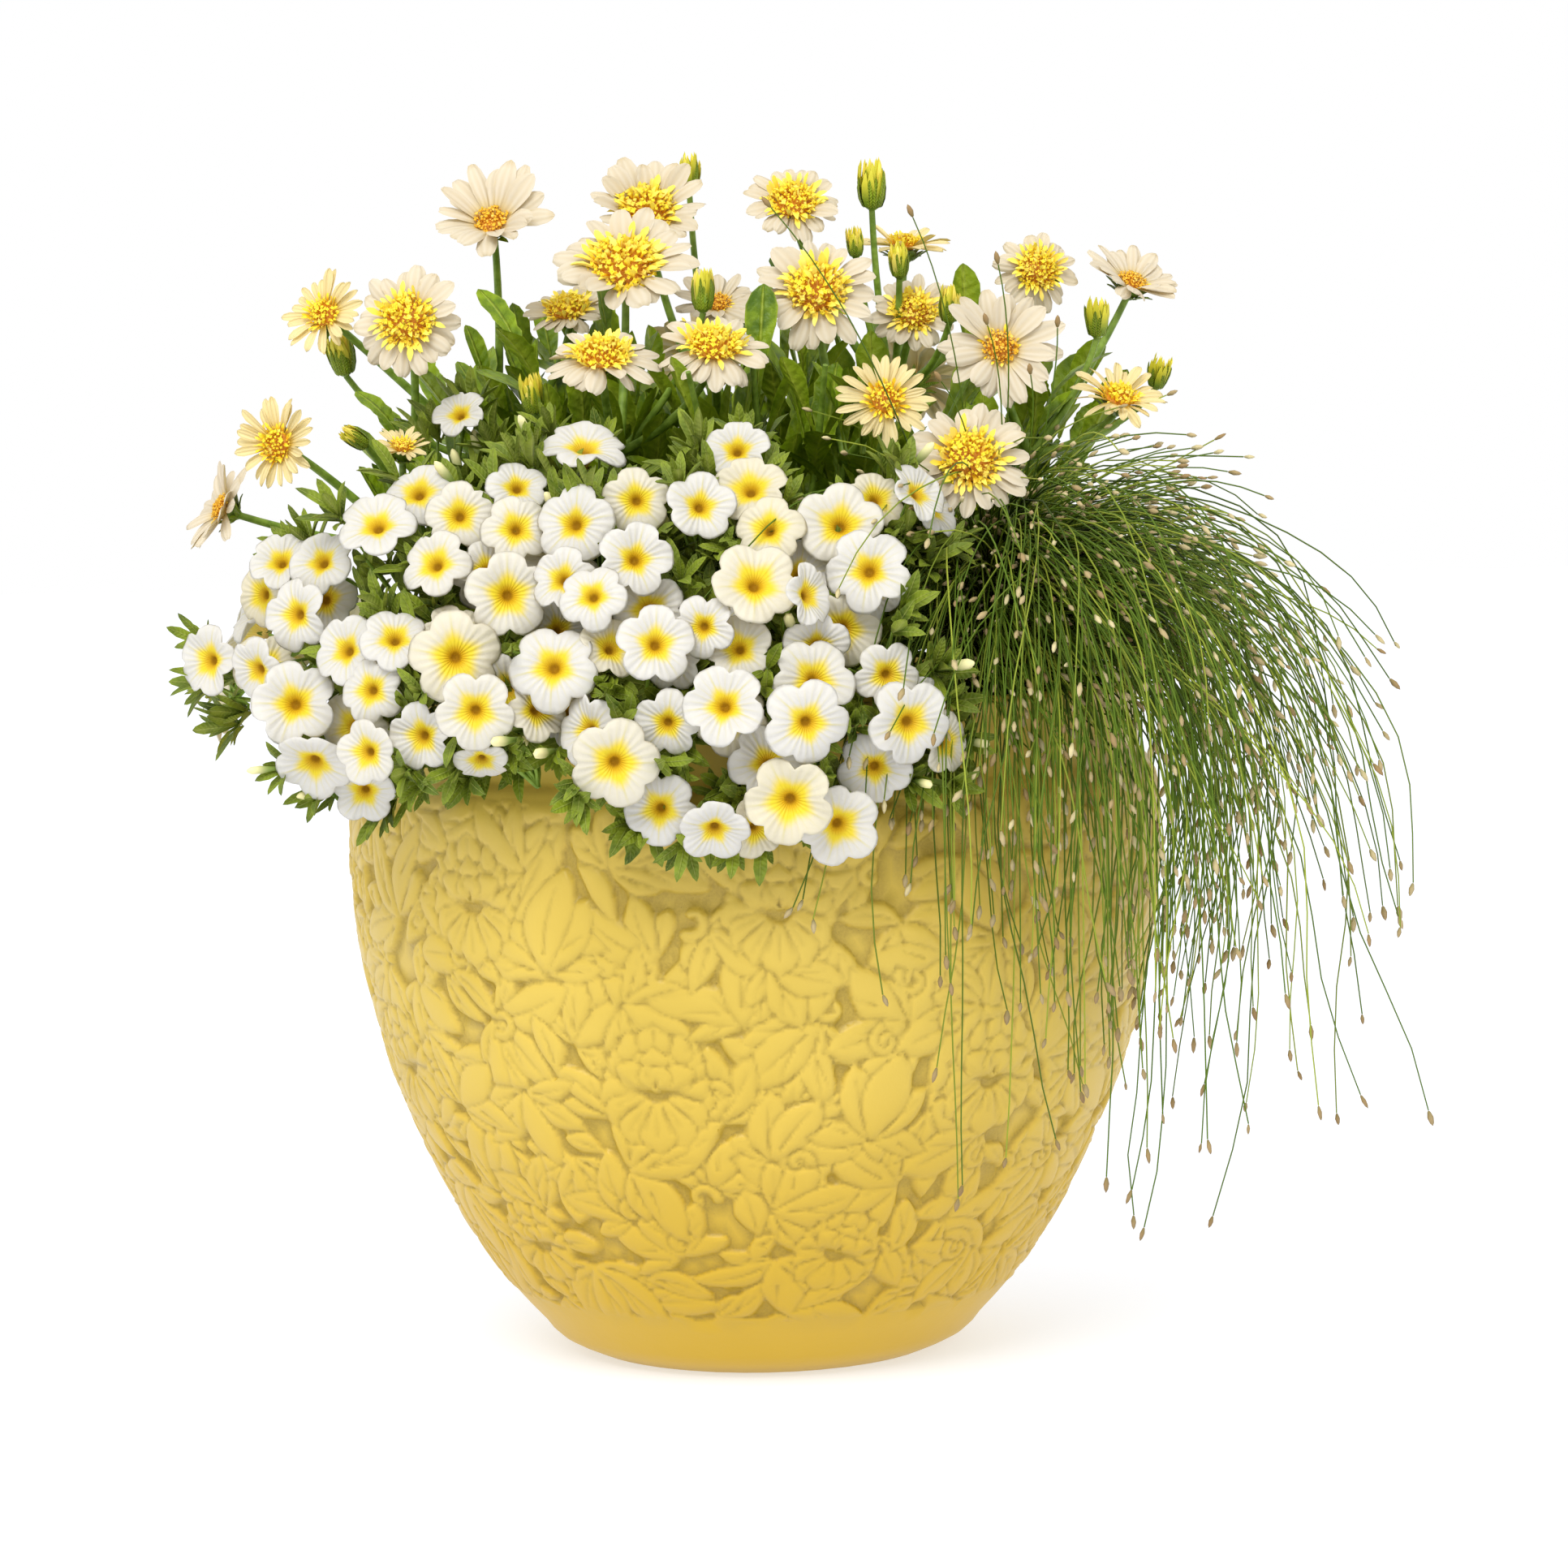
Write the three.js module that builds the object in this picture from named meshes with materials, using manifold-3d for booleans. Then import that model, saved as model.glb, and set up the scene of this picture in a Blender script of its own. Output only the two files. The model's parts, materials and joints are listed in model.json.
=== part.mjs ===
// A planter of African daisies in a moulded yellow pot, with white calibrachoa spilling over the front
// and left of the rim and a tuft of fine hanging grass at the right.
// Millimetres, +Z up, the viewer in front on the -Y side. The origin is the middle of the pot's flat base.
import * as THREE from "three";
import Module from "manifold-3d";

const wasm = await Module();
wasm.setup();

// Driving dimensions of the pot
const potWidth = 305;
const potHeight = 254;
const potBaseRadius = 66;
const neckHeight = 226;
const floorThickness = 12;
const soilHeight = 234;
const potSides = 36;
const soilSides = 18;
const drainHoleRadius = 5;
const drainHoleCircle = 42;
const reliefDepth = 2;

// Driving dimensions of the plants
const clearance = 0.3;
const petalThickness = 0.8;
const leafThickness = 0.9;
const daisyLeafLength = 58;
const calibrachoaLeafLength = 16;
const leafyStemRadius = 3;
const stalkRadius = 1.5;
const pedicelRadius = 0.9;
const grassRadius = 0.65;

// How the plant was seen in its picture, a square of 1932 pixels. Flowers are placed by the column and row
// where their middle shows there, and by their depth, in mm behind the pot's axis.
const picture = {
  centre: 966,
  focal: 6075,
  distance: 1864,
  height: 380,
  pitch: THREE.MathUtils.degToRad(5.12),
  yaw: THREE.MathUtils.degToRad(0.35),
  roll: THREE.MathUtils.degToRad(0.98),
};
const eye = new THREE.Vector3(0, -picture.distance, picture.height);

// The direction from the eye through a column and row of the picture.
function sightLine(col, row) {
  const across = col - picture.centre;
  const above = picture.centre - row;
  const { roll, pitch, yaw, focal } = picture;
  const right = (Math.cos(roll) * across + Math.sin(roll) * above) / focal;
  const up = (-Math.sin(roll) * across + Math.cos(roll) * above) / focal;
  const ahead = Math.cos(pitch) + Math.sin(pitch) * up;
  return new THREE.Vector3(
    Math.cos(yaw) * right + Math.sin(yaw) * ahead,
    -Math.sin(yaw) * right + Math.cos(yaw) * ahead,
    -Math.sin(pitch) + Math.cos(pitch) * up,
  );
}

// The point at a depth that shows at a column and row.
function seenAt(col, row, depth) {
  const line = sightLine(col, row);
  return eye.clone().addScaledVector(line, (depth - eye.y) / line.y);
}

// A length in pixels at a depth, as a real size.
const realSize = (pixels, depth) => (pixels * (depth - eye.y)) / picture.focal;

// A unit vector that faces the viewer at turn 0 and lift 0, turned to the right and lifted up, in degrees.
function facing(turn, lift) {
  const [t, l] = [turn, lift].map(THREE.MathUtils.degToRad);
  return new THREE.Vector3(Math.sin(t) * Math.cos(l), -Math.cos(t) * Math.cos(l), Math.sin(l));
}

const polar = (radius, angle, z) => new THREE.Vector3(radius * Math.cos(angle), radius * Math.sin(angle), z);
const along = (from, way, distance) => from.clone().addScaledVector(way, distance);
const label = (index) => String(index + 1).padStart(2, "0");

// Repeatable random draws between 0 and 1.
function seededDraws(seed) {
  let state = seed;
  return () => {
    state = (state + 0x6d2b79f5) | 0;
    let t = Math.imul(state ^ (state >>> 15), 1 | state);
    t = (t + Math.imul(t ^ (t >>> 7), 61 | t)) ^ t;
    return ((t ^ (t >>> 14)) >>> 0) / 4294967296;
  };
}

const between = (draw, low, high) => low + (high - low) * draw();

// A solid from points and triangles, with its faces turned outwards.
function solidOf(points, triangles) {
  const vertProperties = new Float32Array(points.flatMap((p) => p.toArray()));
  const build = (list) => {
    const triVerts = new Uint32Array(list.flat());
    return new wasm.Manifold(new wasm.Mesh({ numProp: 3, vertProperties, triVerts }));
  };
  const made = build(triangles);
  return made.volume() < 0 ? build(triangles.map(([a, b, c]) => [a, c, b])) : made;
}

// A three.js geometry as a solid, its shared vertices merged.
function solidOfGeometry(geometry) {
  const position = geometry.toNonIndexed().getAttribute("position");
  const found = new Map();
  const points = [];
  const corners = [];
  for (let i = 0; i < position.count; i++) {
    const p = new THREE.Vector3().fromBufferAttribute(position, i);
    const key = p.toArray().map((v) => Math.round(v * 1000)).join();
    if (!found.has(key)) found.set(key, points.push(p) - 1);
    corners.push(found.get(key));
  }
  const triangles = [];
  for (let i = 0; i < corners.length; i += 3) {
    const [a, b, c] = corners.slice(i, i + 3);
    if (a !== b && b !== c && c !== a) triangles.push([a, b, c]);
  }
  return solidOf(points, triangles);
}

// Triangles between a ring of m points and one of n, stepping round on whichever is behind.
function bridge(a, m, b, n) {
  const triangles = [];
  let [i, j] = [0, 0];
  while (i < m || j < n) {
    if (j === n || (i < m && (i + 1) * n <= (j + 1) * m)) {
      if (m > 1) triangles.push([a + i, a + ((i + 1) % m), b + (j % n)]);
      i++;
    } else {
      if (n > 1) triangles.push([a + (i % m), b + ((j + 1) % n), b + j]);
      j++;
    }
  }
  return triangles;
}

// A closed solid through rings of points, which may differ in number. A ring of one point closes to a tip.
function loft(rings) {
  const starts = rings.map((_, k) => rings.slice(0, k).flat().length);
  const triangles = [];
  for (let k = 0; k + 1 < rings.length; k++) {
    triangles.push(...bridge(starts[k], rings[k].length, starts[k + 1], rings[k + 1].length));
  }
  const end = starts[rings.length - 1];
  for (let i = 1; i + 1 < rings[0].length; i++) triangles.push([0, i + 1, i]);
  for (let i = 1; i + 1 < rings.at(-1).length; i++) triangles.push([end, end + i, end + i + 1]);
  return solidOf(rings.flat(), triangles);
}

// Rings of few sides across a route, with a radius at each of its points, where 0 gives a tip.
// The first corner of each ring lies towards the same side.
function ringsAlong(route, radii, sides, towards) {
  return route.map((middle, i) => {
    if (radii[i] === 0) return [middle];
    const [before, after] = [route[Math.max(i - 1, 0)], route[Math.min(i + 1, route.length - 1)]];
    const tangent = after.clone().sub(before).normalize();
    const side = along(towards, tangent, -towards.dot(tangent)).normalize();
    const other = new THREE.Vector3().crossVectors(tangent, side);
    const corners = Array.isArray(sides) ? sides[i] : sides;
    return Array.from({ length: corners }, (_, k) => {
      const angle = (2 * Math.PI * k) / corners;
      return along(along(middle, side, radii[i] * Math.cos(angle)), other, radii[i] * Math.sin(angle));
    });
  });
}

// The point at a share of the way along a route of straight steps.
function pointOn(route, share) {
  const at = share * (route.length - 1);
  const step = Math.min(Math.floor(at), route.length - 2);
  return route[step].clone().lerp(route[step + 1], at - step);
}

const anySide = new THREE.Vector3(0.37, 0.21, 0.13);
const stem = (route, radii, sides) => loft(ringsAlong(route, radii, sides, anySide));

// A thin blade, such as a leaf, from its root to a pointed tip. Stations give its half width at shares of its
// length. It bows up by arch in its middle and its tip droops by as much.
function blade({ root, ahead, up, length, stations, arch }) {
  const way = ahead.clone().normalize();
  const side = new THREE.Vector3().crossVectors(way, up).normalize();
  const face = new THREE.Vector3().crossVectors(side, way).normalize();
  const bow = (share) => arch * share * (4 - 5 * share);
  const middles = stations.map(([share]) => along(along(root, way, length * share), face, bow(share)));
  const left = middles.map((middle, i) => along(middle, side, -stations[i][1]));
  const right = middles.slice(0, -1).map((middle, i) => along(middle, side, stations[i][1]));
  return plate([...left, ...right.reverse()], left.length, face);
}

// A plate of even thickness inside an outline that runs up its left side to the tip and back down its right.
function plate(outline, leftCount, face) {
  const count = outline.length;
  const shift = leafThickness / 2;
  const points = [shift, -shift].flatMap((by) => outline.map((p) => along(p, face, by)));
  const triangles = [];
  for (let i = 0; i + 1 < leftCount; i++) {
    const [a, b] = [count - 1 - i, count - 2 - i];
    triangles.push([i, i + 1, a], [i + count, a + count, i + 1 + count]);
    if (b !== i + 1) triangles.push([a, i + 1, b], [a + count, b + count, i + 1 + count]);
  }
  for (let i = 0; i < count; i++) {
    const j = (i + 1) % count;
    triangles.push([i, i + count, j], [j, i + count, j + count]);
  }
  return solidOf(points, triangles);
}

// The frame of a flower: +Z along the way that it faces, at its place.
function flowerFrame(place, normal) {
  const side = new THREE.Vector3(0, 0, 1).cross(normal);
  if (side.length() < 0.2) side.set(1, 0, 0);
  side.normalize();
  const upward = new THREE.Vector3().crossVectors(normal, side).normalize();
  side.crossVectors(upward, normal);
  return new THREE.Matrix4().makeBasis(side, upward, normal).setPosition(place);
}

// A stalk that opens into a funnel or star: one solid from the stalk's root to its rim. The rim is a list of
// points in the flower's frame, its edges say how far each of its rings lies from those, and the hollow says
// how deep it is inside.
function cupOnStalk({ route, radius, neckRadius, frame, rim, edges, hollow }) {
  const towards = new THREE.Vector3().setFromMatrixColumn(frame, 0);
  const radii = route.map((_, i) => (i === route.length - 1 ? neckRadius : radius));
  const rimRings = edges.map((shift) => rim.map((p) => p.clone().setZ(p.z + shift).applyMatrix4(frame)));
  const bottom = new THREE.Vector3(0, 0, -hollow).applyMatrix4(frame);
  return loft([...ringsAlong(route, radii, 3, towards), ...rimRings, [bottom]]);
}

const starRim = (points, tip, notch, tipHeight, notchHeight) =>
  Array.from({ length: 2 * points }, (_, k) =>
    polar(k % 2 ? notch : tip, (Math.PI * k) / points, k % 2 ? notchHeight : tipHeight),
  );

function joinAll(solids) {
  if (solids.length < 2) return solids[0];
  const half = Math.ceil(solids.length / 2);
  return joinAll(solids.slice(0, half)).add(joinAll(solids.slice(half)));
}

// The solids of a node joined: its largest body, without loose scraps and without slivers where joins cross.
const sliver = 0.03;

function fuse(solids) {
  const bodies = joinAll(solids).simplify(sliver).decompose();
  return bodies.sort((a, b) => b.volume() - a.volume())[0];
}

// Everything already in its place, so that what grows later can be laid clear of it.
const placed = [];

function keep(node, made) {
  placed.push({ node, made, box: made.boundingBox() });
  return made;
}

function boxesMeet(a, b) {
  return [0, 1, 2].every((k) => a.min[k] <= b.max[k] + clearance && b.min[k] <= a.max[k] + clearance);
}

// Whether a solid of a node is clear of the other nodes, and where strict also of its own but its parents.
function isClear(node, made, strict, ...parents) {
  const box = made.boundingBox();
  return placed.every((other) => {
    if (other.node === node && (!strict || parents.includes(other.made))) return true;
    return !boxesMeet(box, other.box) || made.minGap(other.made, clearance) >= clearance;
  });
}

// The first of several ways to grow a solid that is clear of everything but its parents, or else of the other
// nodes.
function growClear(node, ways, ...parents) {
  for (const strict of [true, false]) {
    for (const way of ways) {
      const made = way();
      if (isClear(node, made, strict, ...parents)) return made;
    }
  }
  return null;
}

const nodes = new Map();

function addNode(name, made, material) {
  nodes.set(name, { made, material });
}

const material = (color, roughness) => new THREE.MeshStandardMaterial({ color, roughness, metalness: 0 });
const materials = {
  pot: material(0xe3c253, 0.45),
  soil: material(0x3b2c20, 1),
  cream: material(0xfbf1dc, 0.6),
  lemon: material(0xf6e28a, 0.6),
  gold: material(0xf3bf1d, 0.7),
  leaf: material(0x4a7a2c, 0.55),
  white: material(0xf7f6f0, 0.6),
  grass: material(0x3f6f26, 0.5),
};

// The pot's wall as height and radius pairs, from the edge of its foot up to its rim and down inside.
const outerWall = [
  [0, potBaseRadius],
  [6, 78],
  [30, 99],
  [62, 118.5],
  [108, 138.5],
  [160, 150.5],
  [200, potWidth / 2],
  [217, 151.5],
  [neckHeight, 145.5],
  [247, 145.5],
];
const rim = [
  [potHeight - 3, 150],
  [potHeight, 146],
];
const innerWall = [
  [neckHeight + 10, 140],
  [200, 146],
  [108, 131],
  [30, 89],
  [floorThickness, 64],
];

function wallRadius(height) {
  const after = Math.max(1, outerWall.findIndex(([z]) => z >= height));
  const [[z0, r0], [z1, r1]] = outerWall.slice(after - 1, after + 1);
  return r0 + ((r1 - r0) * (height - z0)) / (z1 - z0);
}

function lathed(profile, sides) {
  const points = profile.map(([z, r]) => new THREE.Vector2(r, z));
  return solidOfGeometry(new THREE.LatheGeometry(points, sides).rotateX(Math.PI / 2));
}

// A raised motif: an outline in arc length and height about its middle, bent round the pot's wall.
function wallMotif(angle, height, outline) {
  const middleRadius = wallRadius(height);
  const layer = (stand) =>
    outline.map(([arc, rise]) => {
      const z = height + rise;
      return polar(wallRadius(z) + stand, angle + arc / middleRadius, z);
    });
  const inner = polar(middleRadius - 3, angle, height);
  const outer = polar(middleRadius + reliefDepth + 0.4, angle, height);
  return loft([[inner], layer(-1.6), layer(reliefDepth), [outer]]);
}

// Peony blossoms moulded on the wall, in staggered rows.
const reliefRows = [
  { height: 186, count: 8, firstAngle: -87, blossom: 24 },
  { height: 118, count: 7, firstAngle: -105, blossom: 24 },
  { height: 54, count: 6, firstAngle: -76, blossom: 19 },
];

function potRelief() {
  const blossomOutline = (size) => starRim(4, size, size * 0.84, 0, 0).map((p) => [p.x * 1.1, p.y]);
  return reliefRows.flatMap(({ height, count, firstAngle, blossom }) =>
    Array.from({ length: count }, (_, i) => {
      const angle = THREE.MathUtils.degToRad(firstAngle + (360 * i) / count);
      return wallMotif(angle, height, blossomOutline(blossom));
    }),
  );
}

function hole(x, y, radius, bottom, top, sides) {
  const upright = new THREE.CylinderGeometry(radius, radius, top - bottom, sides).rotateX(Math.PI / 2);
  return solidOfGeometry(upright.translate(x, y, (top + bottom) / 2));
}

function makePot() {
  const body = lathed([[0, 0], ...outerWall, ...rim, ...innerWall, [floorThickness, 0]], potSides);
  let pot = fuse([body, ...potRelief()]);
  for (let i = 0; i < 4; i++) {
    const { x, y } = polar(drainHoleCircle, Math.PI / 4 + (i * Math.PI) / 2, 0);
    pot = pot.subtract(hole(x, y, drainHoleRadius, -5, floorThickness + 5, 8));
  }
  addNode("pot", keep("pot", pot), materials.pot);
}

// Potting soil that fills the pot, with a plain hole for each stem that stands in it.
function makeSoil(roots) {
  const side = innerWall.slice(1).map(([z, r]) => [z, r - clearance - 0.2]);
  side.at(-1)[0] += clearance;
  const profile = [[side.at(-1)[0], 0], ...side.reverse(), [soilHeight - 2, 139], [soilHeight, 0]];
  let soil = lathed(profile, soilSides);
  for (const { place, radius, sides } of roots) {
    const wide = (radius + clearance + 0.1) / Math.cos(Math.PI / sides);
    soil = soil.subtract(hole(place.x, place.y, wide, place.z - clearance, soilHeight + 5, sides));
  }
  addNode("potting_soil", keep("potting_soil", soil), materials.soil);
}

// The heads of the daisies: where each shows, its width there, its depth, which way it faces, how many ray
// petals it has, how steeply they rise from the head's plane in degrees, and its kind.
const daisies = [
  { col: 606, row: 276, width: 166, depth: 10, turn: -8, lift: 40, petals: 12, rise: 14, kind: "single" },
  { col: 797, row: 262, width: 156, depth: 62, turn: 4, lift: 40, petals: 12, rise: 16, kind: "double" },
  { col: 769, row: 330, width: 182, depth: -12, turn: -3, lift: 46, petals: 13, rise: 6, kind: "double" },
  { col: 400, row: 388, width: 108, depth: 14, turn: -24, lift: 22, petals: 11, rise: 8, kind: "young" },
  { col: 501, row: 397, width: 142, depth: -42, turn: -8, lift: 16, petals: 12, rise: -6, kind: "double" },
  { col: 342, row: 548, width: 118, depth: -40, turn: -22, lift: 10, petals: 12, rise: 12, kind: "young" },
  { col: 276, row: 627, width: 128, depth: -62, turn: -66, lift: 24, petals: 11, rise: 16, kind: "single" },
  { col: 742, row: 443, width: 148, depth: -66, turn: 2, lift: 62, petals: 12, rise: 2, kind: "double" },
  { col: 880, row: 430, width: 142, depth: -62, turn: 8, lift: 54, petals: 12, rise: 4, kind: "double" },
  { col: 884, row: 376, width: 116, depth: 14, turn: 4, lift: 50, petals: 11, rise: 10, kind: "single" },
  { col: 700, row: 384, width: 112, depth: 34, turn: -10, lift: 60, petals: 11, rise: 4, kind: "double" },
  { col: 496, row: 552, width: 72, depth: -62, turn: 6, lift: 58, petals: 9, rise: 16, kind: "young" },
  { col: 978, row: 252, width: 126, depth: 26, turn: 4, lift: 44, petals: 12, rise: 6, kind: "double" },
  { col: 1006, row: 360, width: 154, depth: -30, turn: 2, lift: 30, petals: 13, rise: 2, kind: "double" },
  { col: 1114, row: 304, width: 112, depth: 48, turn: 8, lift: 80, petals: 11, rise: 4, kind: "young" },
  { col: 1126, row: 386, width: 112, depth: 12, turn: 4, lift: 28, petals: 11, rise: 4, kind: "double" },
  { col: 1232, row: 430, width: 158, depth: -48, turn: 6, lift: 20, petals: 12, rise: 8, kind: "single" },
  { col: 1278, row: 334, width: 108, depth: 22, turn: 10, lift: 18, petals: 11, rise: -12, kind: "double" },
  { col: 1394, row: 350, width: 132, depth: 18, turn: 34, lift: 54, petals: 11, rise: 18, kind: "single" },
  { col: 1091, row: 494, width: 120, depth: -84, turn: 4, lift: 20, petals: 12, rise: 6, kind: "young" },
  { col: 1195, row: 568, width: 156, depth: -112, turn: 4, lift: 26, petals: 13, rise: 4, kind: "double" },
  { col: 1378, row: 492, width: 126, depth: -20, turn: 24, lift: 60, petals: 11, rise: 12, kind: "young" },
  { col: 862, row: 436, width: 140, depth: 128, turn: 170, lift: 42, petals: 12, rise: 4, kind: "double" },
  { col: 1130, row: 470, width: 136, depth: 118, turn: 150, lift: 34, petals: 12, rise: 6, kind: "single" },
];
const discShare = { single: 0.22, double: 0.46, young: 0.34 };
const discHeight = { single: 3.2, double: 6, young: 5 };

// The ring of ray petals: a hub whose corners carry the petals, all one plate.
function rayRing({ petals, rise, hub, reach, draw }) {
  const half = Math.PI / petals;
  const slope = Math.tan(THREE.MathUtils.degToRad(rise));
  const points = [];
  const triangles = [];
  const halfThickness = petalThickness / 2;
  const corner = (radius, angle, z) =>
    points.push(polar(radius, angle, z + halfThickness), polar(radius, angle, z - halfThickness)) - 2;
  const face = (a, b, c) => triangles.push([a, b, c], [a + 1, c + 1, b + 1]);
  const edge = (a, b) => triangles.push([b, a, a + 1], [b, a + 1, b + 1]);
  const middle = corner(0, 0, 0);
  const hubCorners = Array.from({ length: petals }, (_, i) => corner(hub, (2 * i - 1) * half, 0));
  hubCorners.forEach((from, i) => {
    const to = hubCorners[(i + 1) % petals];
    const length = (reach - hub) * between(draw, 0.92, 1);
    const lift = length * (slope + between(draw, -0.1, 0.1));
    const right = corner(hub + length, (2 * i - 0.62) * half, lift);
    const left = corner(hub + length, (2 * i + 0.62) * half, lift);
    face(middle, from, to);
    face(from, right, to);
    face(right, left, to);
    edge(from, right);
    edge(right, left);
    edge(left, to);
  });
  return solidOf(points, triangles);
}

// The disc of florets: a low crown, ragged on a double head.
function floretDisc(radius, hub, kind) {
  const bottom = petalThickness / 2 + clearance + 0.1;
  const ragged = kind !== "single";
  const ring = (reach, height) =>
    Array.from({ length: 8 }, (_, i) => {
      const inset = ragged && i % 2;
      return polar(reach * (inset ? 0.8 : 1), (Math.PI * (i + 0.5)) / 4, height + (inset ? 1.2 : 0));
    });
  const top = discHeight[kind];
  const rings = [ring(hub * 0.94, bottom), ring(radius, bottom + top * 0.5)];
  if (ragged) rings.push(ring(radius * 0.55, bottom + top));
  return loft([...rings, [new THREE.Vector3(0, 0, bottom + top * 0.8)]]);
}

function makeDaisyHeads() {
  const draw = seededDraws(11);
  daisies.forEach((daisy, i) => {
    const radius = (realSize(daisy.width, daisy.depth) / 2) * discShare[daisy.kind];
    daisy.place = seenAt(daisy.col, daisy.row, daisy.depth);
    daisy.normal = facing(daisy.turn, daisy.lift);
    daisy.frame = flowerFrame(daisy.place, daisy.normal);
    daisy.reach = realSize(daisy.width, daisy.depth) / 2;
    daisy.hub = radius * 0.86;
    const rays = rayRing({ ...daisy, draw }).transform(daisy.frame.toArray());
    const disc = floretDisc(radius, daisy.hub, daisy.kind).transform(daisy.frame.toArray());
    const [raysName, discName] = [`daisy_rays_${label(i)}`, `daisy_disc_${label(i)}`];
    addNode(raysName, keep(raysName, rays), materials[daisy.kind === "young" ? "lemon" : "cream"]);
    addNode(discName, keep(discName, disc), materials.gold);
  });
}

// The calibrachoa flowers in the order in which they lie on each other: where each shows and its width there.
// Those with a turn and a lift face their own way. The others face out from the mound and to the viewer.
const calibrachoas = [
  { col: 345, row: 690, width: 76 },
  { col: 692, row: 712, width: 80 },
  { col: 946, row: 650, width: 86 },
  { col: 1079, row: 613, width: 76, turn: 10, lift: 30 },
  { col: 314, row: 827, width: 80, turn: -40, lift: -10 },
  { col: 1004, row: 836, width: 100 },
  { col: 1094, row: 832, width: 80 },
  { col: 722, row: 901, width: 90, turn: -35, lift: 0 },
  { col: 593, row: 940, width: 66, turn: -5, lift: -40 },
  { col: 812, row: 998, width: 90, turn: -10, lift: -5 },
  { col: 881, row: 1022, width: 84, turn: 0, lift: -30 },
  { col: 1035, row: 1018, width: 98 },
  { col: 970, row: 983, width: 106 },
  { col: 946, row: 940, width: 94 },
  { col: 866, row: 772, width: 76 },
  { col: 636, row: 650, width: 84 },
  { col: 565, row: 508, width: 66, turn: -20, lift: 40 },
  { col: 720, row: 545, width: 106, turn: 12, lift: 62 },
  { col: 908, row: 552, width: 78, turn: -4, lift: 34 },
  { col: 637, row: 598, width: 74, turn: 4, lift: 34 },
  { col: 514, row: 604, width: 88 },
  { col: 565, row: 634, width: 84 },
  { col: 474, row: 658, width: 94, turn: -10, lift: 42 },
  { col: 535, row: 693, width: 86 },
  { col: 784, row: 615, width: 82 },
  { col: 864, row: 622, width: 84 },
  { col: 924, row: 592, width: 90 },
  { col: 706, row: 644, width: 96 },
  { col: 783, row: 688, width: 90 },
  { col: 623, row: 728, width: 102 },
  { col: 734, row: 742, width: 82 },
  { col: 394, row: 690, width: 84 },
  { col: 362, row: 757, width: 88 },
  { col: 305, row: 722, width: 76, turn: -44, lift: 4 },
  { col: 486, row: 784, width: 84, turn: 0, lift: 36 },
  { col: 424, row: 800, width: 86 },
  { col: 566, row: 812, width: 110 },
  { col: 684, row: 822, width: 106 },
  { col: 810, row: 796, width: 94 },
  { col: 362, row: 866, width: 102 },
  { col: 255, row: 814, width: 84, turn: -36, lift: 4 },
  { col: 455, row: 850, width: 80 },
  { col: 518, row: 908, width: 82 },
  { col: 598, row: 878, width: 94 },
  { col: 463, row: 926, width: 78 },
  { col: 385, row: 944, width: 94, turn: -14, lift: -34 },
  { col: 822, row: 892, width: 80 },
  { col: 893, row: 870, width: 98 },
  { col: 910, row: 792, width: 80 },
  { col: 766, row: 938, width: 106 },
  { col: 931, row: 722, width: 104 },
  { col: 996, row: 742, width: 76, turn: 50, lift: 10 },
  { col: 1035, row: 645, width: 102 },
  { col: 1067, row: 707, width: 102 },
  { col: 1124, row: 628, width: 76, turn: 44, lift: 30 },
  { col: 990, row: 891, width: 102 },
  { col: 1119, row: 891, width: 102 },
];
// Flowers round the mound's left and back, which the picture doesn't show: their bearing, height and size.
const hiddenCalibrachoas = [
  { bearing: 196, height: 288 },
  { bearing: 184, height: 226 },
  { bearing: 172, height: 276 },
  { bearing: 162, height: 232 },
  { bearing: 150, height: 270 },
];
const hiddenWidth = 31;
const funnelShare = 0.62;

// The mound of calibrachoa about the pot's axis: its widest height and how far it reaches each way.
const mound = { middle: 245, left: 226, right: 186, front: 186, back: 160, up: 130, down: 85 };

function moundRise(z) {
  const above = z - mound.middle;
  return above > 0 ? (above / mound.up) ** 2 : (above / mound.down) ** 4;
}

// How far out a point is in the mound, where 1 is its surface.
function moundLevel(p) {
  const across = p.x / (p.x < 0 ? mound.left : mound.right);
  const ahead = p.y / (p.y < 0 ? mound.front : mound.back);
  return across ** 2 + ahead ** 2 + moundRise(p.z);
}

function moundNormal(p) {
  const width = p.x < 0 ? mound.left : mound.right;
  const depth = p.y < 0 ? mound.front : mound.back;
  const above = p.z - mound.middle;
  const upward = above > 0 ? (2 * above) / mound.up ** 2 : (4 * above ** 3) / mound.down ** 4;
  return new THREE.Vector3((2 * p.x) / width ** 2, (2 * p.y) / depth ** 2, upward).normalize();
}

// The point of the mound at a bearing from the pot's axis and a height.
function onBearing(bearing, height) {
  const way = polar(1, THREE.MathUtils.degToRad(bearing), 0);
  const level = moundLevel(way.clone().setZ(mound.middle));
  return way.multiplyScalar(Math.sqrt(Math.max(0.05, 1 - moundRise(height)) / level)).setZ(height);
}

// The first point of the mound on a line of sight, or the nearest one to it where the line passes above it.
function onMound(col, row) {
  let best = seenAt(col, row, -200);
  for (let depth = -198; depth <= 40 && moundLevel(best) > 1; depth += 2) {
    const place = seenAt(col, row, depth);
    if (moundLevel(place) < moundLevel(best)) best = place;
  }
  return best;
}

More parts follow.
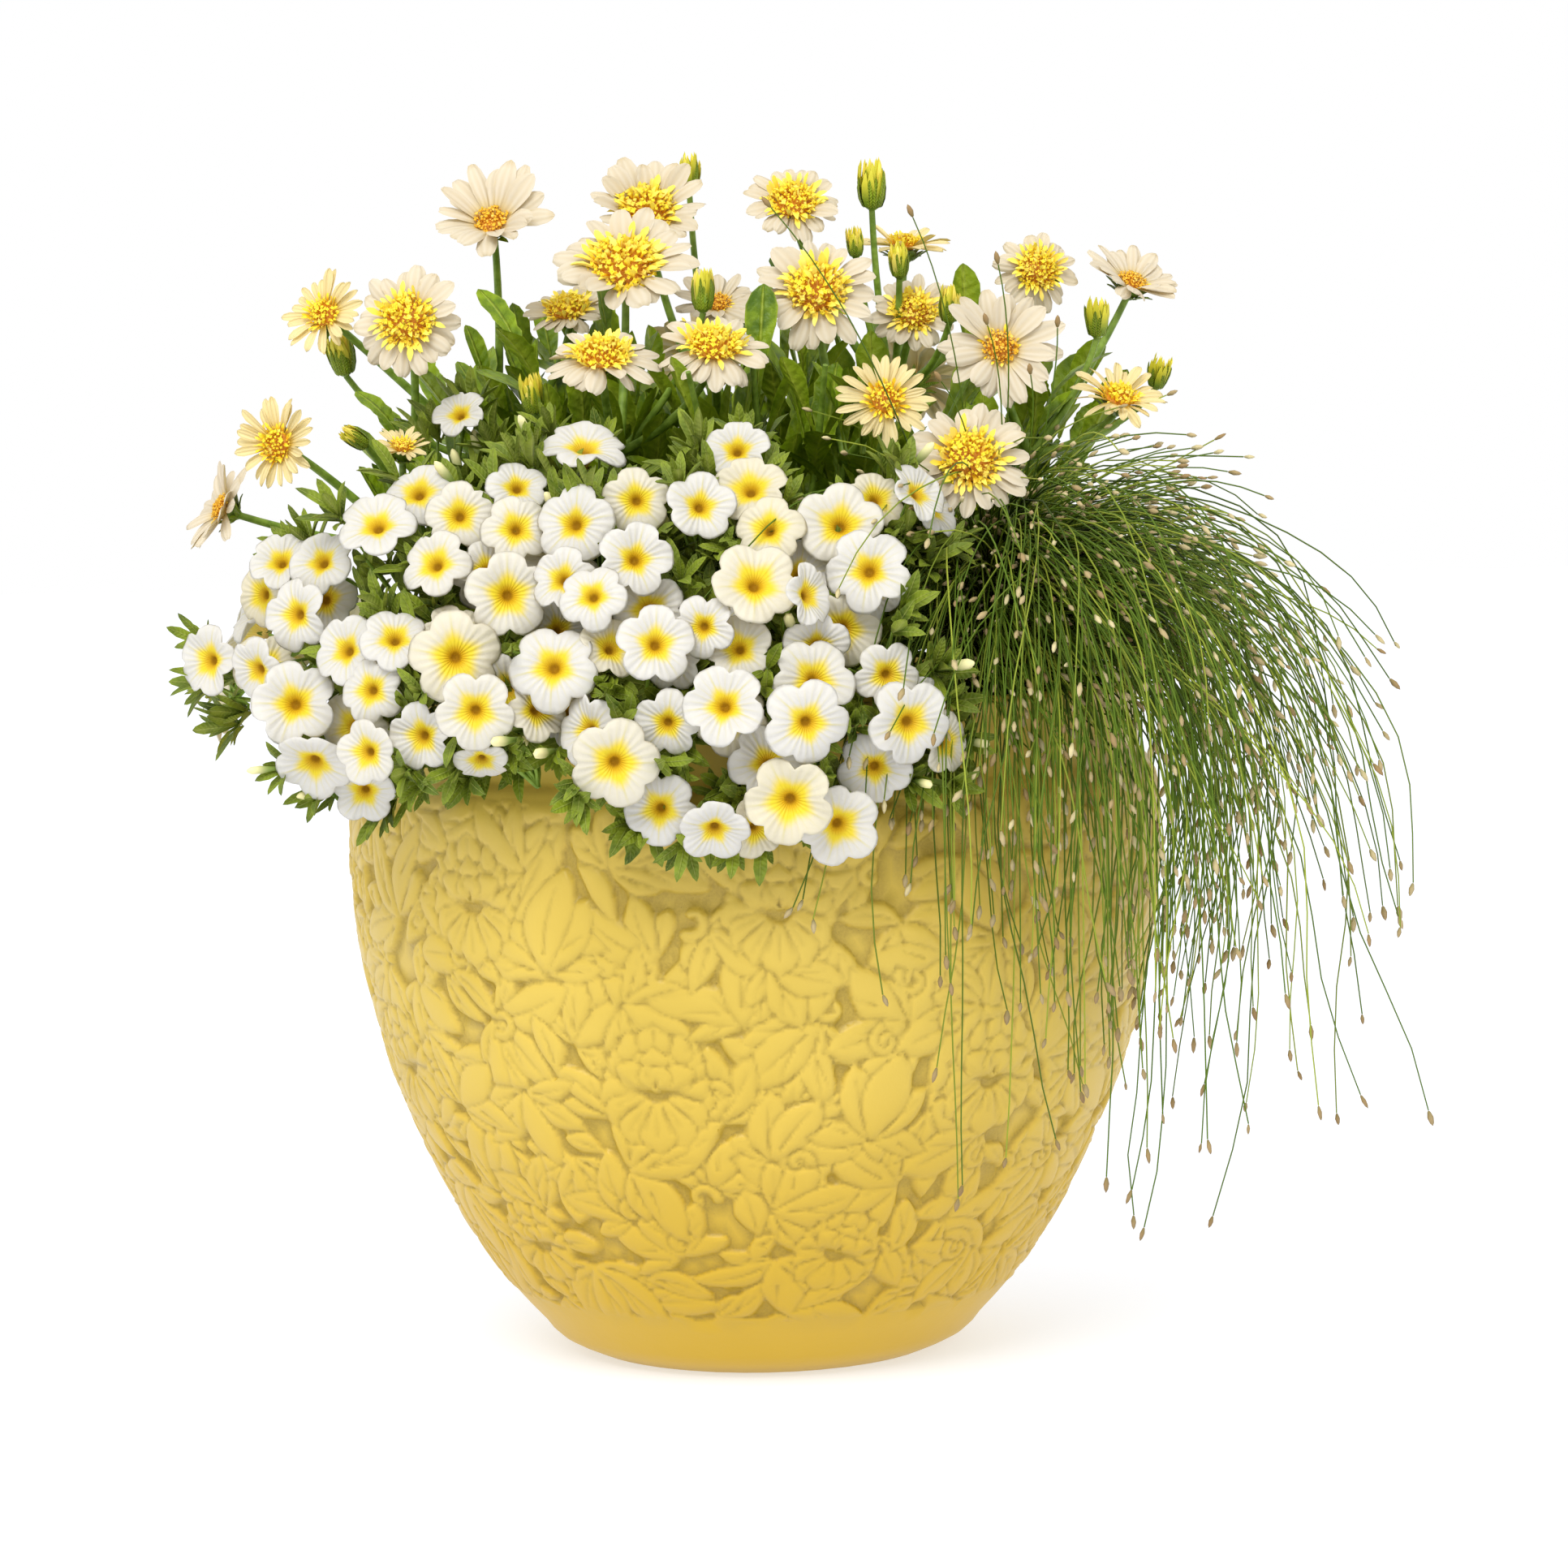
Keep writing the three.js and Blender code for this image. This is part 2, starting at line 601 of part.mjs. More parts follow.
// Whether two round plates cut through each other, or nearly so.
function platesMeet(a, b) {
  const line = new THREE.Vector3().crossVectors(a.normal, b.normal);
  const slant = Math.max(line.length(), 0.15);
  line.normalize();
  return [-1, 0, 1].some((shift) => {
    const apart = along(b.place, a.normal, shift).sub(a.place);
    const [fromA, fromB] = [apart.dot(b.normal), apart.dot(a.normal)].map((d) => Math.abs(d) / slant);
    if (fromA > a.radius || fromB > b.radius || apart.length() > a.radius + b.radius) return false;
    const halfChord = (radius, from) => Math.sqrt(radius ** 2 - from ** 2);
    return Math.abs(apart.dot(line)) < halfChord(a.radius, fromA) + halfChord(b.radius, fromB);
  });
}

// A flower is laid clear of others as four plates: its face, and three across its funnel. Each has a depth
// behind the face and a radius, as shares of the flower's own radius.
const flowerPlates = [[0, 1.02], [0.16, 0.8], [0.32, 0.58], [0.48, 0.36]];

function flowersMeet(a, b) {
  if (a.place.distanceTo(b.place) > a.radius + b.radius + 4) return false;
  const plates = ({ place, normal, radius }) =>
    flowerPlates.map(([depth, wide]) => ({
      place: along(place, normal, -depth * radius),
      normal,
      radius: wide * radius,
    }));
  return plates(a).some((one) => plates(b).some((other) => platesMeet(one, other)));
}

// Each flower moves out from the mound, or in a little, until it is clear of the earlier ones.
function layerFlowers(flowers) {
  const moves = [0, 3, -3, 6, -6, 9, 12, 15, 18, 21, 24, 27];
  flowers.forEach((flower, i) => {
    const start = flower.place.clone();
    moves.find((move) => {
      flower.place = along(start, flower.out, move);
      return !flowers.slice(0, i).some((other) => flowersMeet(flower, other));
    });
  });
}

function placeCalibrachoas() {
  const draw = seededDraws(5);
  const seen = calibrachoas.map((flower) => {
    const place = onMound(flower.col, flower.row);
    const out = moundNormal(place);
    const wander = new THREE.Vector3(between(draw, -0.3, 0.3), 0, between(draw, -0.25, 0.3));
    const normal = along(out, eye.clone().sub(place).normalize(), 0.9).add(wander).normalize();
    if (flower.turn !== undefined) normal.copy(facing(flower.turn, flower.lift));
    return { place, out, normal, radius: realSize(flower.width, place.y) / 2 };
  });
  const hidden = hiddenCalibrachoas.map(({ bearing, height }) => {
    const place = onBearing(bearing, height);
    return { place, out: moundNormal(place), normal: moundNormal(place), radius: hiddenWidth / 2 };
  });
  const flowers = [...seen, ...hidden];
  layerFlowers(flowers);
  return flowers;
}

// A calibrachoa flower on its pedicel: a flat face of five lobes that narrows to a funnel.
const flowerOnRoute = (flower, route) =>
  cupOnStalk({
    route: [...route, flower.neck],
    radius: pedicelRadius,
    neckRadius: flower.radius * 0.13,
    frame: flower.frame,
    rim: starRim(5, flower.radius, flower.radius * 0.86, -0.7, 0.5),
    edges: [0],
    hollow: flower.radius * 0.3,
  });

// The sprays share the flowers between them by bearing. Each has a stem that stands in the soil, bends over
// the rim and hangs under its flowers.
const sprayCount = 8;
const bearingOf = (place) => THREE.MathUtils.euclideanModulo(Math.atan2(place.y, place.x), 2 * Math.PI);

function planSprays(flowers) {
  const ranked = [...flowers].sort((a, b) => bearingOf(a.place) - bearingOf(b.place));
  return Array.from({ length: sprayCount }, (_, s) => {
    const [from, to] = [s, s + 1].map((n) => Math.round((n * ranked.length) / sprayCount));
    const own = ranked.slice(from, to);
    const bearing = own.reduce((sum, flower) => sum + bearingOf(flower.place), 0) / own.length;
    const hang = onBearing(THREE.MathUtils.radToDeg(bearing), 226);
    const reach = Math.hypot(hang.x, hang.y);
    const root = polar(98, bearing, soilHeight - 16);
    const upright = polar(98, bearing, soilHeight + 6);
    const route = [root, upright, polar(116, bearing, 272), polar(152, bearing, 276)];
    const outside = [[164, 0.88, 252], [166, 0.9, 214]].map(([least, share, z]) =>
      polar(Math.max(least, reach * share), bearing, z),
    );
    const line = new THREE.CatmullRomCurve3([...route, ...outside]);
    const node = `calibrachoa_spray_${s + 1}`;
    return { node, flowers: own, bearing, root, route: line.getPoints(6), solids: [] };
  });
}

function makeSprays(flowers, sprays) {
  for (const flower of flowers) {
    flower.frame = flowerFrame(flower.place, flower.normal);
    flower.neck = along(flower.place, flower.normal, -flower.radius * funnelShare);
  }
  for (const spray of sprays) {
    spray.stem = keep(spray.node, stem(spray.route, [2.3, 2.3, 2.1, 1.9, 1.7, 1.4, 1.1], 4));
    spray.solids.push(spray.stem);
    for (const flower of spray.flowers) {
      flower.limb = keep(spray.node, flowerOnRoute(flower, [along(flower.neck, flower.normal, -2)]));
    }
  }
  for (const spray of sprays) {
    spray.flowers.forEach((flower, i) => {
      const ways = [0.9, 0.8, 0.7, 0.6, 0.5, 0.4].flatMap((share) => {
        const root = pointOn(spray.route, share + i * 0.008);
        const distance = root.distanceTo(flower.neck);
        return [0, 0.2, 0.4].map((bow) => ({ root, distance, bow }));
      });
      ways.sort((a, b) => a.distance - b.distance);
      const grown = growClear(
        spray.node,
        ways.map(({ root, distance, bow }) => () => {
          const bend = along(root.clone().lerp(flower.neck, 0.55), flower.normal, -bow * distance);
          return flowerOnRoute(flower, bow ? [root, bend] : [root]);
        }),
        spray.stem,
        flower.limb,
      );
      if (grown) spray.solids.push(keep(spray.node, grown));
    });
  }
}

// Rosettes of narrow leaves in the gaps between the flowers, each on a short side shoot.
const rosettesPerSpray = 2;

function growRosettes(flowers, sprays) {
  const draw = seededDraws(23);
  for (const spray of sprays) {
    let grown = 0;
    for (let tries = 0; tries < 60 && grown < rosettesPerSpray; tries++) {
      const bearing = THREE.MathUtils.radToDeg(spray.bearing) + between(draw, -14, 14);
      const place = onBearing(bearing, between(draw, 205, 320));
      const normal = moundNormal(place);
      const tip = calibrachoaLeafLength * between(draw, 0.85, 1.1);
      if (flowers.some((flower) => flower.place.distanceTo(place) < flower.radius * 1.1)) continue;
      const rosette = cupOnStalk({
        route: [pointOn(spray.route, between(draw, 0.5, 0.95)), along(place, normal, -3)],
        radius: pedicelRadius,
        neckRadius: 1.4,
        frame: flowerFrame(place, normal),
        rim: starRim(5, tip * 0.85, 2.6, tip * 0.5, 0),
        edges: [-leafThickness / 2, leafThickness / 2],
        hollow: 0.5,
      });
      if (!isClear(spray.node, rosette, true, spray.stem)) continue;
      spray.solids.push(keep(spray.node, rosette));
      grown++;
    }
    addNode(spray.node, fuse(spray.solids), materials.white);
  }
}

// Buds of the daisies: where each shows, its depth and length, and which way it points.
const daisyBuds = [
  { col: 849, row: 214, depth: 84, length: 14, turn: 0, lift: 84 },
  { col: 866, row: 360, depth: -34, length: 15, turn: 0, lift: 86 },
  { col: 420, row: 436, depth: 32, length: 18, turn: -30, lift: 70 },
  { col: 655, row: 486, depth: -72, length: 15, turn: -20, lift: 66 },
  { col: 437, row: 540, depth: -48, length: 12, turn: -50, lift: 30 },
  { col: 1075, row: 230, depth: 22, length: 18, turn: 10, lift: 80 },
  { col: 1054, row: 300, depth: 24, length: 11, turn: -10, lift: 84 },
  { col: 1108, row: 322, depth: 4, length: 13, turn: 0, lift: 86 },
  { col: 1170, row: 376, depth: -10, length: 14, turn: 10, lift: 80 },
  { col: 1352, row: 392, depth: -8, length: 15, turn: 10, lift: 82 },
  { col: 1428, row: 460, depth: 4, length: 13, turn: 30, lift: 66 },
];

// The daisy plant: a woody crown in the soil, and leafy stems from it to the places listed.
const crown = { place: new THREE.Vector3(12, 22, soilHeight - 24), radius: 9, sides: 8 };
const leafyStemEnds = [
  [-128, -16, 306],
  [-98, 46, 334],
  [-48, -22, 340],
  [-12, 64, 346],
  [36, -38, 336],
  [56, 34, 358],
  [106, -6, 336],
  [126, 52, 322],
  [-44, 108, 306],
  [50, 112, 306],
];
const leavesPerStem = 4;
// The sides of a stalk at each point of its route, up to the cup or bud at its end
const stalkSides = [3, 3, 3, 3, 5, 5];

function makeDaisyPlant() {
  const node = "daisy_foliage";
  const solids = [];
  const grow = (made) => {
    solids.push(keep(node, made));
    return made;
  };
  const [low, high] = [6, 16].map((height) => crown.place.clone().setZ(soilHeight + height));
  const stump = grow(stem([crown.place, low, high], [crown.radius, crown.radius, 6.5], crown.sides));
  const stems = leafyStemEnds.map((end) => {
    const [top, r] = [new THREE.Vector3(...end), leafyStemRadius];
    const bend = low.clone().lerp(top, 0.5).setZ(soilHeight + 26 + (top.z - soilHeight) * 0.2);
    const line = new THREE.QuadraticBezierCurve3(low, bend, top);
    const route = line.getPoints(3);
    return { route, made: grow(stem(route, [r * 1.2, r, r * 0.9, r * 0.7], 4)) };
  });
  // The ways in which a stalk can come up to a flower or bud from the stems near it
  const stalksTo = (neck, normal, finish) => {
    const roots = stems.flatMap(({ route, made }) =>
      [0.97, 0.8, 0.62, 0.46].map((share) => ({ made, root: pointOn(route, share) })),
    );
    const near = roots.filter(({ root }) => root.z < neck.z - 14);
    near.sort((a, b) => a.root.distanceTo(neck) - b.root.distanceTo(neck));
    return near.slice(0, 14).flatMap(({ made, root }) =>
      [0, 10, -10, 22, -22].map((bow) => ({
        parent: made,
        way: () => {
          const under = along(neck, normal, -0.42 * neck.distanceTo(root));
          const bend = root.clone().lerp(neck, 0.4).lerp(under, 0.6);
          bend.x += bow;
          return finish(new THREE.QuadraticBezierCurve3(root, bend, neck).getPoints(3));
        },
      })),
    );
  };
  const growStalk = (ways) => {
    for (const strict of [true, false]) {
      for (const { parent, way } of ways) {
        const made = way();
        if (isClear(node, made, strict, parent)) return grow(made);
      }
    }
    return null;
  };
  for (const daisy of daisies) {
    const under = along(daisy.place, daisy.normal, -petalThickness / 2 - clearance - 0.1);
    const [neck, shoulder] = [along(under, daisy.normal, -6), along(under, daisy.normal, -3)];
    const cup = Math.min(4.8, daisy.hub * 0.9);
    const [r, rb] = [stalkRadius, stalkRadius * 1.2];
    const finish = (route) => stem([...route, shoulder, under], [rb, r, r, r, cup, cup * 0.9], stalkSides);
    growStalk(stalksTo(neck, daisy.normal, finish));
  }
  for (const bud of daisyBuds) {
    const normal = facing(bud.turn, bud.lift);
    const middle = seenAt(bud.col, bud.row, bud.depth);
    const [neck, top] = [along(middle, normal, -bud.length / 2), along(middle, normal, bud.length / 2)];
    const [r, wide] = [stalkRadius * 0.85, bud.length * 0.33];
    const belly = along(neck, normal, bud.length * 0.4);
    const finish = (route) => stem([...route, belly, top], [r, r, r, r, wide, wide * 0.6], stalkSides);
    growStalk(stalksTo(neck, normal, finish));
  }
  growLeaves(node, stems, stump, grow);
  addNode(node, fuse(solids), materials.leaf);
}

// Toothed, spoon-shaped leaves round the upper part of each leafy stem.
function growLeaves(node, stems, stump, grow) {
  const draw = seededDraws(31);
  const upward = new THREE.Vector3(0, 0, 1);
  for (const { route, made } of stems) {
    let grown = 0;
    for (let tries = 0; tries < 40 && grown < leavesPerStem; tries++) {
      const share = between(draw, 0.5, 1);
      const root = pointOn(route, share);
      const tangent = pointOn(route, 1).sub(pointOn(route, 0.7)).normalize();
      const side = polar(0.9, tries * 2.4, 0).transformDirection(flowerFrame(root, tangent));
      const ahead = along(along(side, tangent, 0.45), upward, 0.5);
      const length = daisyLeafLength * between(draw, 0.8, 1.1);
      const stations = [
        [0.02, 1.6],
        [0.48, length * 0.13],
        [0.58, length * 0.1],
        [0.76, length * 0.16],
        [1, 0],
      ];
      const leaf = blade({ root, ahead, up: upward, length, stations, arch: 2.5 });
      if (!isClear(node, leaf, true, made, stump)) continue;
      grow(leaf);
      grown++;
    }
  }
}

// The grass: a root crown in the soil, a dense heart above it, and fine stems that arch over the rim and
// hang, each with a spikelet at its tip.
const tuft = { place: new THREE.Vector3(86, -54, soilHeight - 14), radius: 18, sides: 8 };
const grassStems = 68;

function makeGrass() {
  const node = "grass_tuft";
  const draw = seededDraws(47);
  const at = (height) => tuft.place.clone().setZ(soilHeight + height);
  const r = tuft.radius;
  const heart = keep(node, stem([tuft.place, at(6), at(34), at(56)], [r, r, r * 1.2, r * 0.5], tuft.sides));
  const solids = [heart];
  let grown = 0;
  for (let tries = 0; tries < 1500 && grown < grassStems; tries++) {
    const share = (grown + draw()) / grassStems;
    const way = polar(1, THREE.MathUtils.degToRad(-132 + 172 * share), 0);
    const root = along(at(between(draw, 14, 46)), way, r * 0.6);
    const top = soilHeight + between(draw, 56, 112);
    const reach = between(draw, 62, 150);
    const fall = between(draw, 0.1, 1) ** 0.7 * 250;
    const tip = along(root, way, reach).setZ(Math.max(top - fall, 46));
    const rise = along(root, way, reach * 0.2).setZ(top * 1.06);
    const bend = along(root, way, reach).setZ(Math.max(tip.z + 10, top * 1.02));
    const g = grassRadius;
    const line = new THREE.CubicBezierCurve3(root, rise, bend, tip);
    const made = stem(line.getSpacedPoints(5), [g, g, g, g, g * 2, 0], 3);
    if (!isClear(node, made, true, heart)) continue;
    solids.push(keep(node, made));
    grown++;
  }
  addNode(node, fuse(solids), materials.grass);
}

makePot();
makeDaisyHeads();
const flowers = placeCalibrachoas();
const sprays = planSprays(flowers);
makeSoil([crown, tuft, ...sprays.map(({ root }) => ({ place: root, radius: 2.3, sides: 6 }))]);
makeSprays(flowers, sprays);
growRosettes(flowers, sprays);
makeDaisyPlant();
makeGrass();

// The whole planter, one named mesh for each piece
const planter = new THREE.Group();
for (const [name, { made, material: look }] of nodes) {
  const { vertProperties, triVerts } = made.getMesh();
  const geometry = new THREE.BufferGeometry();
  geometry.setAttribute("position", new THREE.BufferAttribute(vertProperties, 3));
  geometry.setIndex(new THREE.BufferAttribute(triVerts, 1));
  geometry.computeVertexNormals();
  const mesh = new THREE.Mesh(geometry, look);
  mesh.name = name;
  planter.add(mesh);
}

export default planter;
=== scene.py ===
# %% [markdown]
# # A planter of African daisies
#
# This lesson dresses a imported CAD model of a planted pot. It holds African daisies on long stalks, white
# calibrachoa that spills over the rim, and a tuft of fine hanging grass. The CAD model is the frame. It
# fixes where each plant stands and how far it reaches, and each piece made here takes the place of one of
# its nodes. Lengths in this file are in millimetres until a mesh is made, because that is how a grower would
# measure a flower. Blender itself works in metres.

import json
import math

import bpy
import numpy as np
from mathutils import Matrix, Vector
from mathutils.geometry import delaunay_2d_cdt

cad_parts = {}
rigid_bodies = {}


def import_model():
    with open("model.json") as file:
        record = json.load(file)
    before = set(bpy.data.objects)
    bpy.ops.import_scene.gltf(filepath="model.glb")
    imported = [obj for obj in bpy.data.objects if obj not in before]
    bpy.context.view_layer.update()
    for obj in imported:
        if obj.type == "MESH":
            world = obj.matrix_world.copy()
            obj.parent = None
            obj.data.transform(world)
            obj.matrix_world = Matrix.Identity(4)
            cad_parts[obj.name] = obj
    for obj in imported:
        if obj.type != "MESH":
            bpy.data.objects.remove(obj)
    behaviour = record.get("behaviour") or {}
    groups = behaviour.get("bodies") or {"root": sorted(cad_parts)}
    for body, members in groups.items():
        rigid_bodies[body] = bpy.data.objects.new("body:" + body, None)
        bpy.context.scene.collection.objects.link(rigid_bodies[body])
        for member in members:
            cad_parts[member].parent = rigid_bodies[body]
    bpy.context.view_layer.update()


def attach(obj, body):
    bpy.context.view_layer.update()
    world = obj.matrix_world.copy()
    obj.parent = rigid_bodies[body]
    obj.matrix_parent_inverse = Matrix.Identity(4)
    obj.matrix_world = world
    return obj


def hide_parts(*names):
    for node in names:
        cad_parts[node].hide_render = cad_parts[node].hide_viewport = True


MM = 0.001
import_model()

# %% [markdown]
# ## Small helpers
#
# A node tree is easiest to read when each node is one call that names its settings and what feeds it. One
# helper serves for shaders and for Geometry Nodes. Colours are written as the hex values that a painter
# would pick from a photograph, so another function turns them to the linear values that Blender works in.


# %% Nodes and colours
def add(tree, kind, inputs=None, **settings):
    """Adds a node. A socket among the inputs is linked, and anything else is set as that input's value."""
    node = tree.nodes.new(kind)
    for name, value in settings.items():
        setattr(node, name, value)
    for key, value in (inputs or {}).items():
        if isinstance(value, bpy.types.NodeSocket):
            tree.links.new(value, node.inputs[key])
        else:
            node.inputs[key].default_value = value
    return node


def linear(colour):
    """A colour such as #E3C25A as linear red, green, blue and alpha."""
    channels = [int(colour[i : i + 2], 16) / 255 for i in (1, 3, 5)]
    return (*[c / 12.92 if c <= 0.04045 else ((c + 0.055) / 1.055) ** 2.4 for c in channels], 1.0)


def math_node(tree, operation, first, second=0.0, third=0.0, clamp=False):
    """The result of one sum."""
    inputs = {0: first, 1: second, 2: third}
    return add(tree, "ShaderNodeMath", inputs, operation=operation, use_clamp=clamp).outputs[0]


def map_range(tree, value, low, high, to_low=0.0, to_high=1.0):
    """A value stretched smoothly from one range to another."""
    inputs = {"Value": value, "From Min": low, "From Max": high, "To Min": to_low, "To Max": to_high}
    return add(tree, "ShaderNodeMapRange", inputs, interpolation_type="SMOOTHSTEP").outputs[0]


def blend(tree, share, first, second):
    """Two colours mixed by a share. A colour is a hex value or a socket."""
    node = add(tree, "ShaderNodeMix", data_type="RGBA")
    for socket, value in ((node.inputs[0], share), (node.inputs[6], first), (node.inputs[7], second)):
        if isinstance(value, bpy.types.NodeSocket):
            tree.links.new(value, socket)
        else:
            socket.default_value = linear(value) if isinstance(value, str) else value
    return node.outputs[2]


def attribute(tree, name):
    """A number that a mesh carries at each of its points."""
    return add(tree, "ShaderNodeAttribute", attribute_name=name).outputs["Fac"]


# %% Materials
def noise(tree, size, detail=3.0, roughness=0.55):
    """Noise whose patches are about the given number of millimetres across on the object."""
    place = add(tree, "ShaderNodeTexCoord").outputs["Object"]
    inputs = {"Vector": place, "Scale": 1 / (size * MM), "Detail": detail, "Roughness": roughness}
    return add(tree, "ShaderNodeTexNoise", inputs).outputs["Fac"]


def object_height(tree):
    """How high a place is on the object, in metres."""
    place = add(tree, "ShaderNodeTexCoord").outputs["Object"]
    return add(tree, "ShaderNodeSeparateXYZ", {"Vector": place}).outputs["Z"]


def finish_material(name, tint, roughness, bump=None, through=0.0, **surface):
    """A material from its colour, its gloss, its bump and the share of light that it lets through.

    The tint is a hex value, or a function that draws the colour. The bump is a function that draws heights,
    with their depth in millimetres.
    """
    material = bpy.data.materials.new(name)
    material.use_nodes = True
    tree = material.node_tree
    tree.nodes.clear()
    colour = linear(tint) if isinstance(tint, str) else tint(tree)
    inputs = {"Base Color": colour, "Roughness": roughness, **surface}
    if bump:
        draw_heights, depth = bump
        ridges = {"Height": draw_heights(tree), "Strength": 1.0, "Distance": depth * MM}
        inputs["Normal"] = add(tree, "ShaderNodeBump", ridges).outputs[0]
    shader = add(tree, "ShaderNodeBsdfPrincipled", inputs).outputs[0]
    if through:
        glow = add(tree, "ShaderNodeBsdfTranslucent", {"Color": colour}).outputs[0]
        shader = add(tree, "ShaderNodeMixShader", {0: through, 1: shader, 2: glow}).outputs[0]
    add(tree, "ShaderNodeOutputMaterial", {"Surface": shader})
    return material


# %% Meshes
def mesh_of(name, points, faces, **values):
    """A smooth mesh from points in millimetres, with a number at each point for each named value."""
    mesh = bpy.data.meshes.new(name)
    mesh.from_pydata((np.asarray(points, float) * MM).tolist(), [], faces)
    mesh.shade_smooth()
    for key, numbers in values.items():
        mesh.attributes.new(key, "FLOAT", "POINT").data.foreach_set("value", np.asarray(numbers, np.float32))
    mesh.validate()
    return mesh


def show(name, mesh, material=None):
    """An object at the origin that shows a mesh."""
    obj = bpy.data.objects.new(name, mesh)
    bpy.context.scene.collection.objects.link(obj)
    if material:
        mesh.materials.clear()
        mesh.materials.append(material)
    return obj


# %% Pieces of the planter
triangle_counts = {}


def triangles_in(mesh):
    """How many triangles the faces of a mesh make."""
    return sum(len(face.vertices) - 2 for face in mesh.polygons)


def place_piece(obj, slot, *nodes):
    """The object rides on the planter's one body, and takes the place of the CAD nodes named."""
    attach(obj, "root")
    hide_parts(*nodes)
    triangle_counts[obj.name] = triangles_in(obj.data)


# %% [markdown]
# ## The camera
#
# The photograph was taken from a little above the rim with a long lens, which keeps the pot's foot nearly
# flat. The camera stands where the pot's two widths and its height come out right together, 1.86 metres
# away. The CAD model placed its flowers by this same view, so the camera comes first, and the same lines of
# sight serve here to place what the CAD model doesn't have.

# %% The photograph's view
PICTURE_SIZE = 1932
PICTURE_CENTRE = PICTURE_SIZE / 2
FOCAL = 6075
EYE = np.array([0.0, -1864.0, 380.0])
PITCH, YAW, ROLL = (math.radians(angle) for angle in (5.12, 0.35, 0.98))
SENSOR = 36


def unit(vector):
    """The same direction, one unit long."""
    return np.asarray(vector, float) / np.linalg.norm(vector)


def sight_line(col, row):
    """The direction from the eye through a column and row of the picture."""
    across, above = col - PICTURE_CENTRE, PICTURE_CENTRE - row
    right = (math.cos(ROLL) * across + math.sin(ROLL) * above) / FOCAL
    up = (-math.sin(ROLL) * across + math.cos(ROLL) * above) / FOCAL
    ahead = math.cos(PITCH) + math.sin(PITCH) * up
    return np.array([
        math.cos(YAW) * right + math.sin(YAW) * ahead,
        -math.sin(YAW) * right + math.cos(YAW) * ahead,
        -math.sin(PITCH) + math.cos(PITCH) * up,
    ])


def seen_at(col, row, depth):
    """The point that shows at a column and row, at a depth behind the pot's axis."""
    line = sight_line(col, row)
    return EYE + line * (depth - EYE[1]) / line[1]


def real_size(pixels, depth):
    """How many millimetres across a thing is that shows so many pixels wide at a depth."""
    return pixels * (depth - EYE[1]) / FOCAL


def facing(turn, lift):
    """A direction that faces the viewer at turn 0 and lift 0, turned to the right and lifted, in degrees."""
    aside, up = math.radians(turn), math.radians(lift)
    return np.array([math.sin(aside) * math.cos(up), -math.cos(aside) * math.cos(up), math.sin(up)])


# %% The camera
camera_data = bpy.data.cameras.new("studio_camera")
camera_data.sensor_width = SENSOR
camera_data.lens = SENSOR * FOCAL / PICTURE_SIZE
camera = bpy.data.objects.new("studio_camera", camera_data)
bpy.context.scene.collection.objects.link(camera)
look = sight_line(PICTURE_CENTRE, PICTURE_CENTRE)
right = sight_line(PICTURE_CENTRE + FOCAL, PICTURE_CENTRE) - look
axes = Matrix([Vector(unit(right)), Vector(unit(np.cross(right, look))), Vector(unit(-look))]).transposed()
camera.matrix_world = Matrix.Translation(Vector(EYE * MM)) @ axes.to_4x4()
bpy.context.scene.camera = camera
print("Lens in millimetres:", round(camera_data.lens, 1))

# %% [markdown]
# ## The pot's wall
#
# The real pot is moulded resin, painted golden yellow over a floral relief of peonies among leaves, then
# wiped with a darker wash that stays in thin lines and in small pockets. A bump map would leave the pot's
# edge smooth against the white background, so the relief is real geometry: a fine net of points on the wall,
# each pushed out by a height. The heights are drawn like stamps in clay. Each leaf or petal is an outline,
# raised inside and pressed down in a thin moat outside, so that a later one always lies over an earlier one.
# Grooves for veins are cut into it, and where no stamp comes near, the ground sinks into a small deep pocket
# at the end.

# %% The wall's profile and net
# The wall from below up, as pairs of height and radius
outer_wall = [
    (6, 78), (30, 99), (62, 118.5), (108, 138.5), (160, 150.5), (200, 152.5), (217, 151.5), (226, 145.5),
]
BAND_TOP, RELIEF_TOP = 25.0, 221.0
WALL_COLUMNS, WALL_ROWS = 960, 208


def through_points(points, steps):
    """A smooth curve through points, with as many steps from each to the next."""
    p = np.array([2 * np.array(points[0]) - points[1], *points, 2 * np.array(points[-1]) - points[-2]], float)
    curve = []
    for a, b, c, d in zip(p, p[1:], p[2:], p[3:]):
        for t in np.linspace(0, 1, steps, endpoint=False):
            curve.append(0.5 * (2 * b + (c - a) * t + (2 * a - 5 * b + 4 * c - d) * t**2
                                + (3 * b - a - 3 * c + d) * t**3))
    return np.array([*curve, points[-1]])


profile = through_points(outer_wall, 12)
profile_arc = np.concatenate([[0], np.cumsum(np.hypot(*np.diff(profile, axis=0).T))])
wall_ends = np.interp([BAND_TOP, RELIEF_TOP], profile[:, 0], profile_arc)
wall_arc = np.linspace(*wall_ends, WALL_ROWS)
wall_z = np.interp(wall_arc, profile_arc, profile[:, 0])
wall_radius = np.interp(wall_arc, profile_arc, profile[:, 1])
net_step = [wall_arc[1] - wall_arc[0], 2 * math.pi * wall_radius.max() / WALL_COLUMNS]
print("Wall net in millimetres, upward and round:", np.round(net_step, 2).tolist())

# %% Stamps
# Levels are in millimetres from the wall's own face
GROUND, LEAF_LEVEL = -1.0, 0.45
SHOULDER, EDGE_SOFTNESS = 2.2, 0.3
heights = np.full((WALL_ROWS, WALL_COLUMNS), GROUND)


